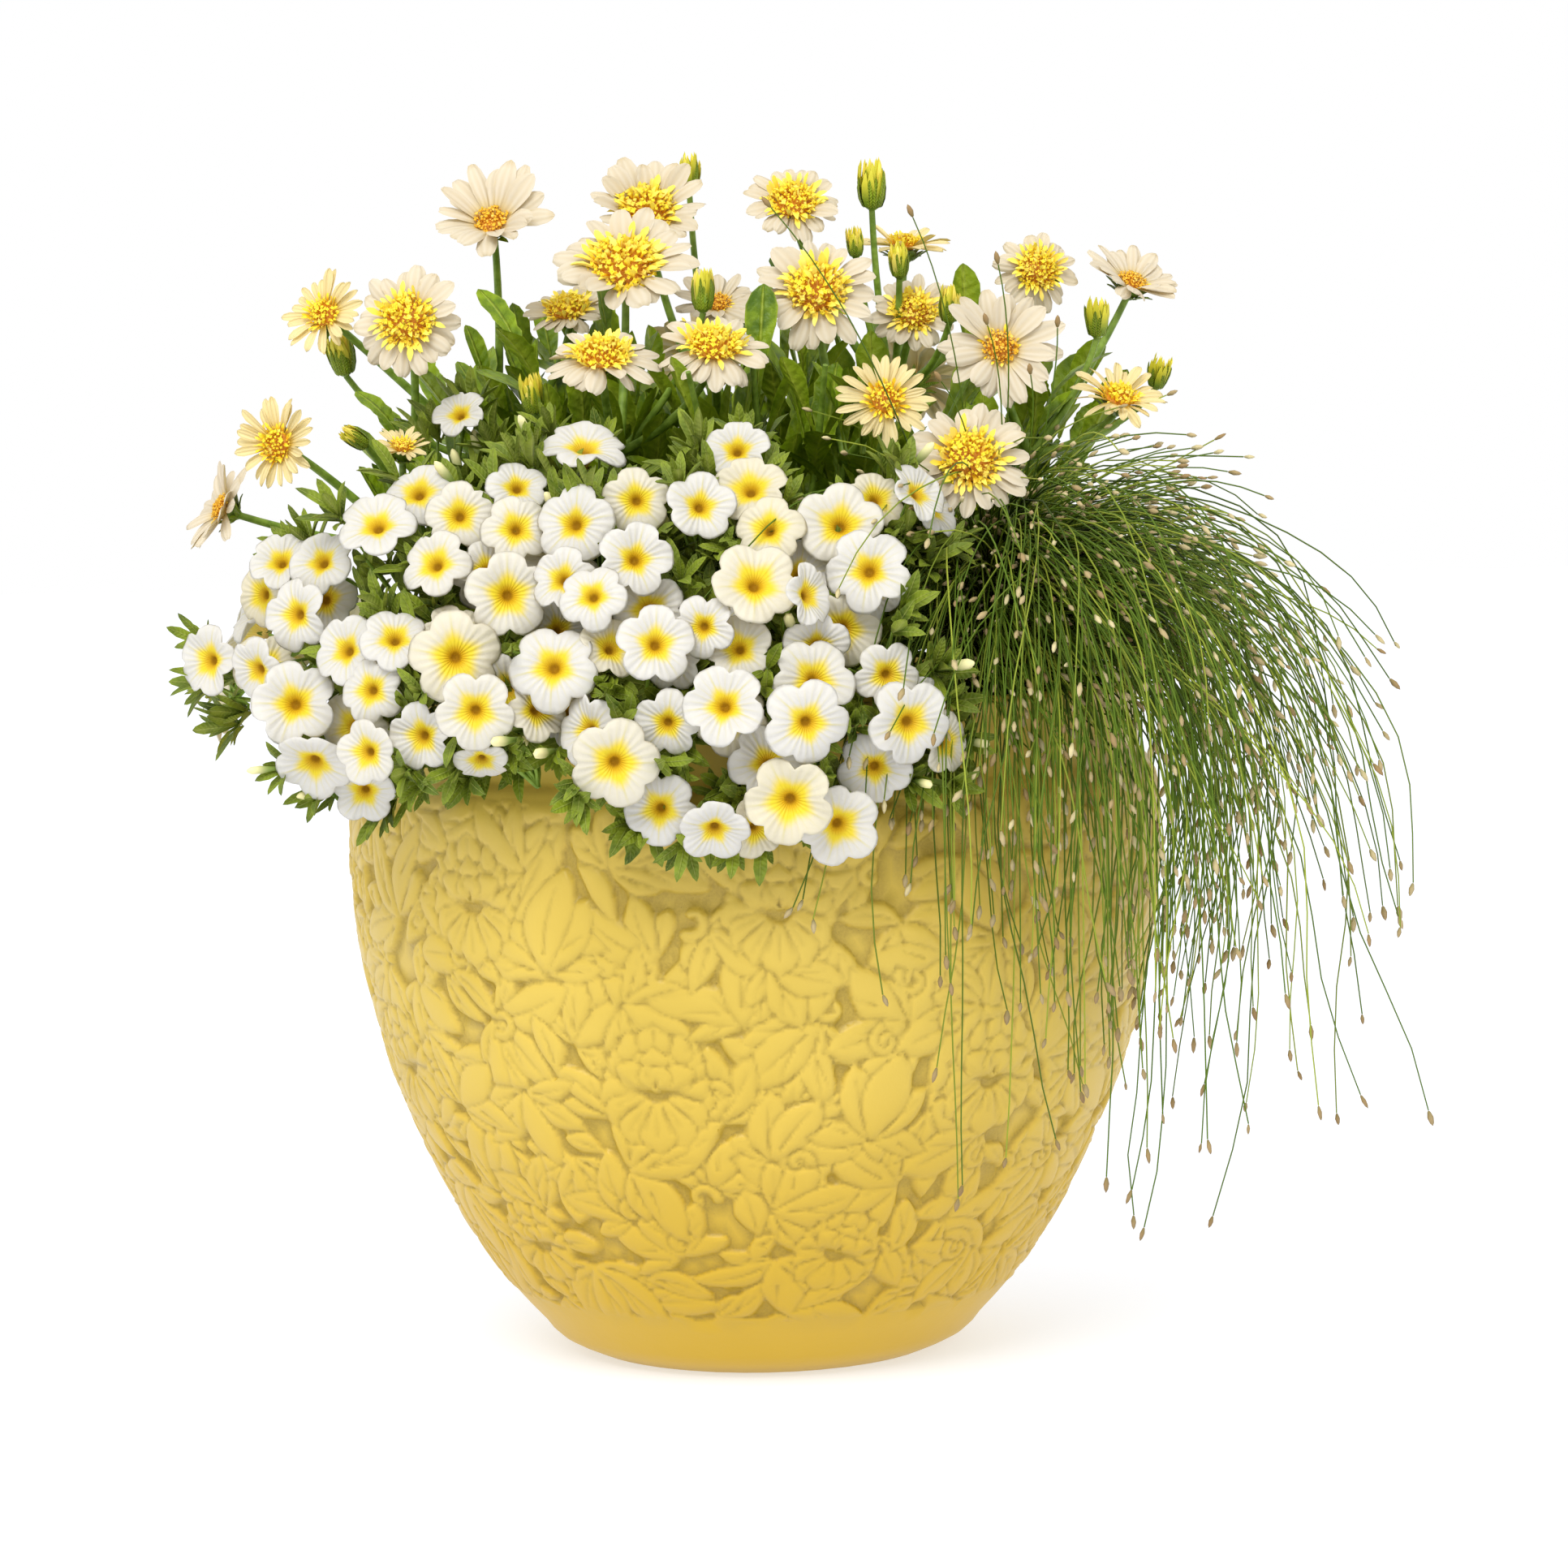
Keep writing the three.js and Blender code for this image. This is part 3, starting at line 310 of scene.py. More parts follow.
def patch(angle, arc, reach):
    """The net's points near a place on the wall, with how far each lies to the right of it and above it."""
    rows = np.nonzero(np.abs(wall_arc - arc) < reach)[0]
    if not len(rows):
        return None
    span = int(reach / wall_radius[rows].min() / (2 * math.pi) * WALL_COLUMNS) + 1
    middle = int(round(angle / (2 * math.pi) * WALL_COLUMNS))
    columns = np.arange(middle - span, middle + span + 1)
    x = (columns * 2 * math.pi / WALL_COLUMNS - angle)[None, :] * wall_radius[rows][:, None]
    y = np.broadcast_to((wall_arc[rows] - arc)[:, None], x.shape)
    return np.ix_(rows, columns % WALL_COLUMNS), x, y


def turned(x, y, turn, bend=0.0):
    """Coordinates along a motif that leans to the right by turn, in radians, and bends to the side."""
    ahead = math.sin(turn) * x + math.cos(turn) * y
    side = math.cos(turn) * x - math.sin(turn) * y
    return side - bend * ahead**2, ahead


def outline_distance(x, y, outline):
    """How far each point is outside a closed outline, and less than nothing inside."""
    nearest = np.full(x.shape, 1e9)
    inside = np.zeros(x.shape, bool)
    for (ax, ay), (bx, by) in zip(outline, np.roll(outline, -1, axis=0)):
        dx, dy = bx - ax, by - ay
        t = np.clip(((x - ax) * dx + (y - ay) * dy) / (dx * dx + dy * dy + 1e-9), 0, 1)
        nearest = np.minimum(nearest, np.hypot(x - ax - t * dx, y - ay - t * dy))
        crosses = (ay > y) != (by > y)
        inside ^= crosses & (x < ax + (y - ay) * dx / (dy if abs(dy) > 1e-9 else 1e-9))
    return np.where(inside, -nearest, nearest)


def petal_outline(length, half_width, tip):
    """A petal or leaf that starts at the origin. The tip is where it is widest, as a share of its length."""
    share = np.linspace(0, 1, 9)
    wide = half_width * np.sin(math.pi * share ** (math.log(0.5) / math.log(tip))) ** 0.8
    left = np.column_stack([-wide, share * length])
    return np.concatenate([left[:-1], [[0, length]], left[-2:0:-1] * [-1, 1]])


def stamp(angle, arc, turn, outline, level, bend=0.0, bulge=0.5, moat=1.1, bite=1.1):
    """Raises the inside of an outline to a level, and presses a moat round it that is a bite deep."""
    found = patch(angle, arc, np.abs(outline).max() * 1.15 + 3)
    if found is None:
        return
    at, x, y = found
    side, ahead = turned(x, y, turn, bend)
    away = outline_distance(side, ahead, outline)
    body = level + bulge * (1 - np.exp(np.minimum(away, 0) / SHOULDER))
    edge = 1 / (1 + np.exp(np.clip(away / EDGE_SOFTNESS, -30, 30)))
    outside = np.maximum(heights[at] - bite * np.exp(-((np.maximum(away, 0) / moat) ** 2)), GROUND)
    heights[at] = outside * (1 - edge) + body * edge


def groove(angle, arc, turn, line, depth, width=0.9, bend=0.0):
    """Cuts a groove along a line, which fades towards its end."""
    line = np.array(line, float)
    found = patch(angle, arc, np.abs(line).max() + 4)
    if found is None:
        return
    at, x, y = found
    side, ahead = turned(x, y, turn, bend)
    cut = np.zeros(x.shape)
    for i, ((ax, ay), (bx, by)) in enumerate(zip(line, line[1:])):
        dx, dy = bx - ax, by - ay
        t = np.clip(((side - ax) * dx + (ahead - ay) * dy) / (dx * dx + dy * dy), 0, 1)
        far = np.hypot(side - ax - t * dx, ahead - ay - t * dy)
        fade = 1 - 0.6 * (i + t) / (len(line) - 1)
        cut = np.maximum(cut, depth * fade * np.exp(-((far / width) ** 2)))
    heights[at] -= cut


# %% [markdown]
# ### Leaves first, then peonies
#
# Sprigs of pointed leaves cover the wall almost wholly, each turned to follow the swirl round the nearest
# flower, and single leaves fill the larger gaps. Only small pockets stay between them, which the darker wash
# later finds. A peony is seen from the side: a cup of petals over a curved base line, a ring of petals
# behind it, and a skirt of petals under it with strokes that fan out from the base. This is a common kind of
# floral relief, laid out afresh here.

# %% Repeatable chance
WORD, STEP = 0xFFFFFFFF, 0x6D2B79F5


def seeded_draws(seed):
    """Repeatable random draws between 0 and 1, the same that the CAD model makes from this seed.

    Each draw steps a 32-bit number on and stirs its bits.
    """
    state = seed

    def draw():
        nonlocal state
        state = (state + STEP) & WORD
        stirred = ((state ^ (state >> 15)) * (1 | state)) & WORD
        stirred = (stirred + ((stirred ^ (stirred >> 7)) * (61 | stirred))) & WORD ^ stirred
        return ((stirred ^ (stirred >> 14)) & WORD) / (WORD + 1)

    return draw


def between(low, high):
    """A random number in a range, from the draws that the cell has started."""
    return low + (high - low) * draw()


# %% The wall's leaves
# Each row of peonies: its height, how many there are, the bearing of the first in degrees, and their size
relief_rows = [(184, 8, -87, 25), (118, 7, -105, 26), (54, 6, -76, 20)]
blossoms = [
    (math.radians(first + 360 * i / count), np.interp(z, wall_z, wall_arc), size)
    for z, count, first, size in relief_rows
    for i in range(count)
]
draw = seeded_draws(3)


def relief_leaf(angle, arc, turn, length, width, bend):
    """A pointed leaf with a middle vein and a stroke or two on each side."""
    outline = petal_outline(length, width, 0.55)
    stamp(angle, arc, turn, outline, LEAF_LEVEL + between(-0.25, 0.25), bend, bulge=0.5, moat=0.9, bite=0.8)
    if draw() < 0.75:
        groove(angle, arc, turn, [(0, length * 0.2), (0, length * 0.8)], 0.8, 0.8, bend)
    for way in (-1, 1):
        if draw() < 0.45:
            foot = between(0.25, 0.5)
            tip = (way * width * 0.6, length * (foot + 0.25))
            groove(angle, arc, turn, [(way * width * 0.12, length * foot), tip], 0.7, 0.75, bend)


def relief_sprig(angle, arc, turn, size):
    """Leaves that fan out from one point, the outer ones under the middle one."""
    for lean, share in ((-1.3, 0.6), (1.3, 0.6), (-0.68, 0.86), (0.68, 0.86), (0.0, 1.0)):
        length = size * share * between(0.88, 1.1)
        relief_leaf(angle, arc, turn + lean + between(-0.12, 0.12), length, length * between(0.2, 0.27),
                    lean * 0.006 + between(-0.013, 0.013))


def relief_curl(angle, arc, turn, size):
    """A tendril that rolls up."""
    t = np.linspace(0, 1, 14)
    radius = size * (1 - 0.75 * t)
    path = np.column_stack([radius * np.cos(5.2 * t), radius * np.sin(5.2 * t) + size])
    wide = 1.9 * (1 - 0.4 * t)
    away = np.gradient(path, axis=0)
    away = np.column_stack([-away[:, 1], away[:, 0]]) / np.linalg.norm(away, axis=1)[:, None]
    outline = np.concatenate([path + away * wide[:, None], (path - away * wide[:, None])[::-1]])
    stamp(angle, arc, turn, outline, LEAF_LEVEL, bulge=0.35, moat=1.0)


def short_way(angle):
    """The same angle, within half a turn to either side."""
    return (angle + math.pi) % (2 * math.pi) - math.pi


def nearest_blossom(angle, arc):
    """How far outside the nearest peony a place is, in millimetres, and the way to that peony."""
    radius = np.interp(arc, wall_arc, wall_radius)
    options = []
    for a, b, size in blossoms:
        across = short_way(a - angle)
        options.append((math.hypot(across * radius, b - arc) - size, math.atan2(across * radius, b - arc)))
    return min(options)


# %% Sprigs set out round the peonies
SPRIG_SPACING = 20.5
sprigs = []
for _ in range(5000):
    angle, arc = between(0, 2 * math.pi), between(wall_arc[0] - 6, wall_arc[-1] + 2)
    gap, towards = nearest_blossom(angle, arc)
    radius = np.interp(arc, wall_arc, wall_radius)
    crowded = any(math.hypot(short_way(a - angle) * radius, b - arc) < SPRIG_SPACING for a, b, _ in sprigs)
    if gap > -6 and not crowded:
        sprigs.append((angle, arc, towards))
for angle, arc, towards in sprigs:
    turn = towards + math.pi / 2 * (1 if draw() < 0.6 else -1) + between(-0.9, 0.9)
    relief_sprig(angle, arc, turn, between(28, 40))
    if draw() < 0.35:
        relief_curl(angle + between(-0.08, 0.08), arc + between(-9, 9), turn, between(4.5, 6.5))
print("Sprigs on the wall:", len(sprigs))

# %% Single leaves in the gaps
BARE_REACH = 3.6
fillers = 0


def is_bare(angle, arc):
    """Whether nothing has been stamped round a place on the wall."""
    found = patch(angle, arc, BARE_REACH)
    if found is None:
        return False
    at, x, y = found
    return (heights[at][np.hypot(x, y) < BARE_REACH] < GROUND + 0.25).all()


for _ in range(4000):
    angle, arc, turn = between(0, 2 * math.pi), between(wall_arc[0] + 2, wall_arc[-1] - 3), between(-3, 3)
    length = between(13, 24)
    radius = np.interp(arc, wall_arc, wall_radius)
    if is_bare(angle + math.sin(turn) * 0.5 * length / radius, arc + math.cos(turn) * 0.5 * length):
        relief_leaf(angle, arc, turn, length, length * between(0.22, 0.3), between(-0.02, 0.02))
        fillers += 1
print("Single leaves:", fillers)


# %% Peonies on the wall
# A peony's cup petals from the back: lean, then length and width as shares of the peony's size, then level
PEONY_CUP = [
    (-0.42, 0.66, 0.2, 0.85), (0.42, 0.66, 0.2, 0.85), (0.0, 0.7, 0.2, 0.9), (-1.08, 0.72, 0.2, 1.1),
    (1.08, 0.72, 0.2, 1.1), (-0.36, 0.46, 0.17, 1.2), (0.36, 0.46, 0.17, 1.25),
]
PEONY_BASE = [(0, -0.13), (0.3, 0.0), (0.62, 0.2)]


def relief_peony(angle, arc, size):
    """A skirt and a back ring of petals, and a cup of petals on top over its base line."""
    lean = between(-0.4, 0.4)
    way_down = lean + math.pi
    for i in (-3, 3, -2, 2, -1, 1, 0):
        reach = size * (1.0 - 0.05 * abs(i)) * between(0.95, 1.04)
        skirt = petal_outline(reach, size * 0.26, 0.74)
        stamp(angle, arc, way_down + i * 0.44, skirt, 0.5, bulge=0.4, moat=0.9, bite=0.75)
        behind = petal_outline(reach * 0.92, size * 0.25, 0.74)
        stamp(angle, arc, lean + i * 0.46, behind, 0.6, bulge=0.4, moat=0.9, bite=0.75)
    for i in range(-5, 6):
        groove(angle, arc, way_down + i * 0.27, [(0, size * 0.2), (0, size * between(0.55, 0.8))], 0.85, 1.0)
    for i in range(-4, 5):
        groove(angle, arc, lean + i * 0.33, [(0, size * 0.84), (0, size * between(0.62, 0.7))], 0.6, 0.9)
    for turn, reach, wide, level in PEONY_CUP:
        outline = petal_outline(size * reach, size * wide, 0.64)
        outline[:, 1] -= size * 0.1
        stamp(angle, arc, lean + turn, outline, level, bulge=0.35, moat=0.9, bite=0.8)
    for side in (-1, 1):
        groove(angle, arc, lean, [(side * x * size, y * size) for x, y in PEONY_BASE], 1.0, 1.1)
    for i in (-1.5, -0.5, 0.5, 1.5):
        groove(angle, arc, lean + i * 0.3, [(0, size * 0.02), (0, size * 0.26)], 0.6, 0.9)


for blossom in blossoms:
    relief_peony(*blossom)
print("Peonies on the wall:", len(blossoms))

# %% Pockets, the wiped wash and painted shade
COVERED_SHARE, SHALLOW_FLOOR, POCKET_DEPTH = 0.57, -0.7, 1.9


def blurred(field, passes):
    """The field smoothed over its neighbours, round the pot and up and down."""
    for _ in range(passes):
        field = (field + np.roll(field, 1, 1) + np.roll(field, -1, 1)) / 3
        field = np.concatenate([field[:1], (field[:-2] + field[1:-1] + field[2:]) / 3, field[-1:]])
    return field


# The carver left deep pockets only where the ground is widest, and the leaves run into each other elsewhere
covered = blurred((heights > GROUND + 0.45).astype(float), 3)
pocket = np.clip((COVERED_SHARE - covered) / 0.3, 0, 1)
pocket = pocket * pocket * (3 - 2 * pocket)
heights = np.maximum(heights, SHALLOW_FLOOR) * (1 - pocket) - POCKET_DEPTH * pocket
# The relief fades out towards the neck and the plain band, as the mould's edge does
fade = np.clip((wall_arc - wall_arc[0]) / 3.0, 0, 1) * np.clip((wall_arc[-1] - wall_arc) / 4.0, 0, 1)
heights *= fade[:, None]
# The real wash stays in thin lines and low places, where it is drawn stronger as painted shade. More
# painted shade goes under each edge that faces down, as light from above leaves it there
lines = np.clip((blurred(heights, 3) - heights) / 0.5, 0, 1)
# Painted shade: where the relief rises going up, the face under it turns down and is darkened
under = np.clip(np.gradient(heights, axis=0) / 0.9, 0, 1)
recess = np.clip(0.85 * lines + 0.6 * blurred(under, 1) + 0.12 * np.clip(-heights - 0.5, 0, 1), 0, 1)
print("Relief from", round(heights.min(), 2), "to", round(heights.max(), 2), "mm")

# %% [markdown]
# ### The pot as one closed skin
#
# The plain parts need far fewer points than the relief: the foot band below it, the neck and rim above it
# and the inside. So the wall's fine net is sewn to coarser rings with triangles, and the whole pot stays one
# closed mesh. Only the floor needs cutting, for its four drain holes. A flat face with holes is what a
# Delaunay triangulation gives in one call.

# %% The pot's mesh
COARSE = 160
POT_FLOOR = 12
DRAIN_CIRCLE, DRAIN_RADIUS, DRAIN_SIDES = 42, 5, 24
drain_bearings = [math.pi / 4 + i * math.pi / 2 for i in range(4)]
drain_centres = [(DRAIN_CIRCLE * math.cos(a), DRAIN_CIRCLE * math.sin(a)) for a in drain_bearings]
pot_points, pot_faces = [], []


def ring(radius, z, count, shift=0.0):
    """Adds a ring of points round the pot's axis and returns their numbers."""
    start = len(pot_points)
    for k, reach in enumerate(np.broadcast_to(radius + shift, count)):
        a = 2 * math.pi * k / count
        pot_points.append((reach * math.cos(a), reach * math.sin(a), z))
    return list(range(start, start + count))


def sew(lower, upper):
    """Faces between two rings. Where one has more points, each face of the other takes its share of them."""
    m, n = len(lower), len(upper)
    if m == n:
        for k in range(m):
            pot_faces.append((lower[k], lower[(k + 1) % m], upper[(k + 1) % n], upper[k]))
    elif m < n:
        share = n // m
        for k in range(m):
            top = [upper[(k * share + j) % n] for j in range(share + 1)]
            half = share // 2
            for j in range(share):
                pot_faces.append((lower[k if j < half else (k + 1) % m], top[j + 1], top[j]))
            pot_faces.append((lower[k], lower[(k + 1) % m], top[half]))
    else:
        share = m // n
        for k in range(n):
            under = [lower[(k * share + j) % m] for j in range(share + 1)]
            half = share // 2
            for j in range(share):
                pot_faces.append((under[j], under[j + 1], upper[k if j < half else (k + 1) % n]))
            pot_faces.append((under[half], upper[(k + 1) % n], upper[k]))


def floor_face(outer, z, upward):
    """A flat face with four drain holes, and the holes' rings."""
    holes = []
    for x, y in drain_centres:
        start = len(pot_points)
        for k in range(DRAIN_SIDES):
            a = 2 * math.pi * k / DRAIN_SIDES
            pot_points.append((x + DRAIN_RADIUS * math.cos(a), y + DRAIN_RADIUS * math.sin(a), z))
        holes.append(list(range(start, start + DRAIN_SIDES)))
    loops = [outer, *holes]
    numbers = [n for loop in loops for n in loop]
    flat = [Vector(pot_points[n][:2]) for n in numbers]
    edges, start = [], 0
    for loop in loops:
        edges += [(start + k, start + (k + 1) % len(loop)) for k in range(len(loop))]
        start += len(loop)
    triangles = delaunay_2d_cdt(flat, edges, [], 1, 1e-5)[2]
    for triangle in triangles:
        middle = sum((flat[k] for k in triangle), Vector((0, 0))) / 3
        if any(math.hypot(middle.x - x, middle.y - y) < DRAIN_RADIUS - 0.1 for x, y in drain_centres):
            continue
        face = [numbers[k] for k in triangle]
        pot_faces.append(tuple(face if upward else face[::-1]))
    return holes


def band_radius(z):
    """The smooth band's radius at a height. Below 10 mm it rounds in to the foot."""
    if z < 10:
        return np.interp(z, [2.5, 6, 10], [71.5, 78.0, 82.4])
    return np.interp(z, profile[:, 0], profile[:, 1])


# %% The pot from its foot over the rim to its floor
# Pairs of radius and height
foot = [(64.5, 0.0), (66.5, 0.5), (69.0, 1.6)]
band = [(band_radius(z), z) for z in (3.5, 6.0, 9.0, 12.5, 16.0, 19.5, 22.5, 24.2)]
neck_rim_and_inside = [
    (149.0, 222.8), (146.6, 224.4), (145.7, 226.5), (145.5, 231.0), (145.5, 246.0), (146.8, 248.6),
    (149.4, 250.0), (150.4, 251.6), (149.6, 253.3), (147.4, 254.0), (144.0, 253.4), (141.0, 250.0),
    (140.0, 243.0), (140.0, 236.0), (143.5, 218.0), (146.0, 200.0), (143.5, 160.0), (131.0, 108.0),
    (112.0, 62.0), (89.0, 30.0), (72.0, 15.5), (64.0, 12.0),
]
lower = bottom = ring(*foot[0], COARSE)
for radius, z in foot[1:] + band:
    upper = ring(radius, z, COARSE)
    sew(lower, upper)
    lower = upper
below_relief = len(pot_points)
for row in range(WALL_ROWS):
    upper = ring(wall_radius[row], wall_z[row], WALL_COLUMNS, heights[row])
    sew(lower, upper)
    lower = upper
for radius, z in neck_rim_and_inside:
    upper = ring(radius, z, COARSE)
    sew(lower, upper)
    lower = upper
holes_below = floor_face(bottom, 0.0, upward=False)
holes_above = floor_face(lower, float(POT_FLOOR), upward=True)
for below, above in zip(holes_below, holes_above):
    for k in range(DRAIN_SIDES):
        n = (k + 1) % DRAIN_SIDES
        pot_faces.append((below[n], below[k], above[k], above[n]))
pot_recess = np.zeros(len(pot_points))
pot_recess[below_relief : below_relief + recess.size] = recess.ravel()
print("Pot:", len(pot_points), "points")

# %% [markdown]
# ### Golden paint over moulded resin
#
# Exterior enamel on a resin pot is a smooth satin coat: it scatters light like any paint, with a soft gloss
# on top. The wash was a thin brown glaze wiped off the high places, and it stays in thin lines and in the
# pockets. It is drawn stronger than it is, as painted shade, and more painted shade in the same brown goes
# under the edges that face down. Both come from values that the mesh carries, broken up by noise about a
# millimetre across. The coat is also painted deeper towards the foot, as shade. The net is finer than its
# flat parts need, so its flattest faces are merged at the end.


# %% Enamel with a wiped wash and painted shade
POT_TRIANGLES = 180000


def enamel_tint(tree):
    """Two near yellows in clouds, deeper to the foot as painted shade, under brown wash, painted shade, dark flecks.
    """
    cloud = noise(tree, 60, 2)
    coat = blend(tree, map_range(tree, cloud, 0.3, 0.7), "#CDAF43", "#D6B84D")
    # Painted shade: the coat deepens towards the foot, where less light falls
    coat = blend(tree, map_range(tree, object_height(tree), 0.015, 0.15, 0.75, 0.0), coat, "#C9A00A")
    # The wash and the painted shade under edges, from the values that the mesh carries
    wash_and_shade_mask = attribute(tree, "recess")
    speck = noise(tree, 0.9, 2)
    wash_and_shade = math_node(tree, "MULTIPLY", wash_and_shade_mask, map_range(tree, speck, 0.3, 0.7, 0.75, 1.0), clamp=True)
    washed_and_shaded = blend(tree, math_node(tree, "MULTIPLY", wash_and_shade, 0.7), coat, "#8F7727")
    fleck = math_node(tree, "MULTIPLY", map_range(tree, noise(tree, 0.7, 1), 0.72, 0.78), wash_and_shade_mask)
    return blend(tree, math_node(tree, "MULTIPLY", fleck, 0.5), washed_and_shaded, "#5E4A1E")


def enamel_grain(tree):
    """Paint over a cast surface isn't quite even, at about two millimetres and at a fifth of one."""
    return math_node(tree, "ADD", noise(tree, 6, 2), math_node(tree, "MULTIPLY", noise(tree, 0.8, 2), 0.25))


def lightened(mesh, most):
    """The mesh with its flattest faces merged, so that it has no more triangles than the number given."""
    holder = bpy.data.objects.new("holder", mesh)
    bpy.context.scene.collection.objects.link(holder)
    modifier = holder.modifiers.new("merge", "DECIMATE")
    modifier.ratio = most / triangles_in(mesh)
    depsgraph = bpy.context.evaluated_depsgraph_get()
    lighter = bpy.data.meshes.new_from_object(holder.evaluated_get(depsgraph), depsgraph=depsgraph)
    bpy.data.objects.remove(holder)
    return lighter


# Satin enamel over cast resin
enamel = finish_material("golden_enamel_on_resin", enamel_tint, 0.4, (enamel_grain, 0.12), IOR=1.42)
enamel_mesh = mesh_of("pot_moulded", pot_points, pot_faces, recess=pot_recess)
place_piece(show("pot_moulded", lightened(enamel_mesh, POT_TRIANGLES), enamel), "pot", "pot")
print("Triangles in the pot:", triangle_counts["pot_moulded"])

# %% [markdown]
# ## Potting soil
#
# Potting mix is peat and bark, a dark crumb with lumps of a few millimetres. It hardly shows, but whoever
# looks down between the leaves should find earth, not a void. A disc with a rough top is enough: its heights
# come from a few layers of waves with random directions, which needs no texture.

# %% The soil's crumb
SOIL_RINGS, SOIL_SIDES = 44, 128
SOIL_RADIUS, SOIL_LEVEL, SOIL_MIDDLE = 139.4, 232.6, 233
draw = seeded_draws(8)
waves = [(between(0.05, 1.6), between(0, 6.28), between(0, 6.28)) for _ in range(40)]


def circle(radius, z, count, middle=(0.0, 0.0)):
    """The points of a level circle."""
    angles = np.linspace(0, 2 * math.pi, count, endpoint=False)
    return [(middle[0] + radius * math.cos(a), middle[1] + radius * math.sin(a), z) for a in angles]


def crumb(x, y):
    """The soil's height above its mean level at a place."""
    total = 0.0
    for pitch, way, phase in waves:
        total += 0.42 / (1 + pitch) * math.sin(pitch * (x * math.cos(way) + y * math.sin(way)) + phase)
    return total


def lofted(rings):
    """Points and faces through rings with the same number of points, or with one point at an end."""
    starts = np.cumsum([0, *map(len, rings)])
    faces = []
    for k, (a, b) in enumerate(zip(rings, rings[1:])):
        i, j, m, n = starts[k], starts[k + 1], len(a), len(b)
        for s in range(max(m, n)):
            t = (s + 1) % max(m, n)
            if m == 1:
                faces.append((i, j + s, j + t))
            elif n == 1:
                faces.append((i + s, j, i + t))
            else:
                faces.append((i + s, j + s, j + t, i + t))
    return [p for r in rings for p in r], faces


soil_rings = [[(0.0, 0.0, SOIL_MIDDLE + crumb(0, 0))]]
for i in range(1, SOIL_RINGS + 1):
    edge = min(1.0, (SOIL_RINGS - i) / 3)
    flat_ring = circle(SOIL_RADIUS * i / SOIL_RINGS, 0, SOIL_SIDES)
    soil_rings.append([(x, y, SOIL_LEVEL + edge * crumb(x, y)) for x, y, _ in flat_ring])
for radius, z in ((139.0, 226.0), (145.0, 200.0), (130.3, 108.0), (88.3, 30.0), (63.0, 12.6)):
    soil_rings.append(circle(radius, z, SOIL_SIDES))
soil_rings.append([(0.0, 0.0, 12.6)])


# %% Peat and bark
def soil_tint(tree):
    """Dark peat with lighter bark."""
    lump = noise(tree, 4, 5, roughness=0.7)
    return blend(tree, map_range(tree, lump, 0.35, 0.7), "#1F1610", "#5A4230")


def soil_lumps(tree):
    """Lumps of a few millimetres."""
    return noise(tree, 2.5, 5, roughness=0.7)


# Peat and bark, quite matt
potting_mix = finish_material("peat_potting_mix", soil_tint, 0.95, (soil_lumps, 2.0))
soil_mesh = mesh_of("soil_crumb", *lofted(soil_rings))
place_piece(show("soil_crumb", soil_mesh, potting_mix), "soil", "potting_soil")
print("Triangles in the soil:", triangle_counts["soil_crumb"])

# %% [markdown]
# ## Petals, leaves and florets are one kind of mesh
#
# A ray petal, a leaf, a bract and a sepal are all a thin lens: a skin above, a skin below, and one edge
# where the two meet. One function makes them all from the half width at a few places along the length. It is
# a closed mesh of a few dozen faces, so that hundreds of copies stay light. The mesh carries how far along
# and across each point is, which is where the materials later draw veins and stripes.


# %% A lens of living tissue
def lens(name, stations, bend, across=4, thickness=0.02, fold=0.0, droop=0.0, tip=1.0, twist=0.0, ruffle=0.0):
    """A blade one unit long on +X with its face up. Stations are pairs of share and half width.

    The bend gives the height at a share. The fold lifts the sides, the droop lowers them, and the ruffle
    waves them. The tip is where the end point lies, less than 1 for a notch.
    """
    sides = np.linspace(-1, 1, across + 1)
    points, values = [(0.0, 0.0, bend(0.0))], [(0.0, 0.0, 0.0)]
    rows = {1: [], -1: []}
    for i, (share, half) in enumerate(stations):
        angle = twist * share
        for face in (1, -1):
            row = []
            for k, side in enumerate(sides):
                edge = k in (0, across)
                if edge and face == -1:
                    row.append(rows[1][i][k])
                    continue
                lift = fold * half * abs(side) - droop * half * side**2
                lift += ruffle * math.sin(9 * share + 2 * side) * side**2
                lift += face * thickness / 2 * (1 - side**2)
                y, z = half * side, lift
                y, z = y * math.cos(angle) - z * math.sin(angle), y * math.sin(angle) + z * math.cos(angle)
                row.append(len(points))
                points.append((share, y, z + bend(share)))
                values.append((share, side, 1.0 if face == -1 else 0.0))
            rows[face].append(row)
    points.append((tip, 0.0, bend(tip)))
    values.append((tip, 0.0, 0.0))
    last = len(points) - 1
    faces = []
    for face, grid in rows.items():
        for k in range(across):
            quads = [(0, grid[0][k], grid[0][k + 1])]
            quads += [(a[k], b[k], b[k + 1], a[k + 1]) for a, b in zip(grid, grid[1:])]
            quads.append((grid[-1][k], last, grid[-1][k + 1]))
            faces += [quad[::-1] for quad in quads] if face == 1 else quads
    along, side, under = zip(*values)
    mesh = mesh_of(name, np.array(points) / MM, faces, along=along, across=side, under=under)
    # The margin is a crease, or the light would seem to roll round it and leave a dark outline
    mesh.set_sharp_from_angle(angle=math.radians(70))
    return mesh


families = []


def family(name, meshes):
    """A collection outside the scene that holds the shapes a tree may pick from."""
    group = bpy.data.collections.new(name)
    for i, mesh in enumerate(meshes):
        group.objects.link(bpy.data.objects.new(f"{name}_{i:02d}", mesh))
    families.append(group)
    return group


# %% [markdown]
# ## Trees that repeat a shape
#
# Four small Geometry Nodes trees do all the repeating here. The first sets a shape out on given points, with
# the turn, size and kind that each point carries, for leaves, blooms and spikelets. The second puts ray
# petals round a hub. The third spreads florets over a disc along the golden angle, the way a real daisy
# packs them. The fourth draws tubes along lines, for stalks and grass. Each ends in Realize Instances and
# Set Material, because only real meshes are exported.


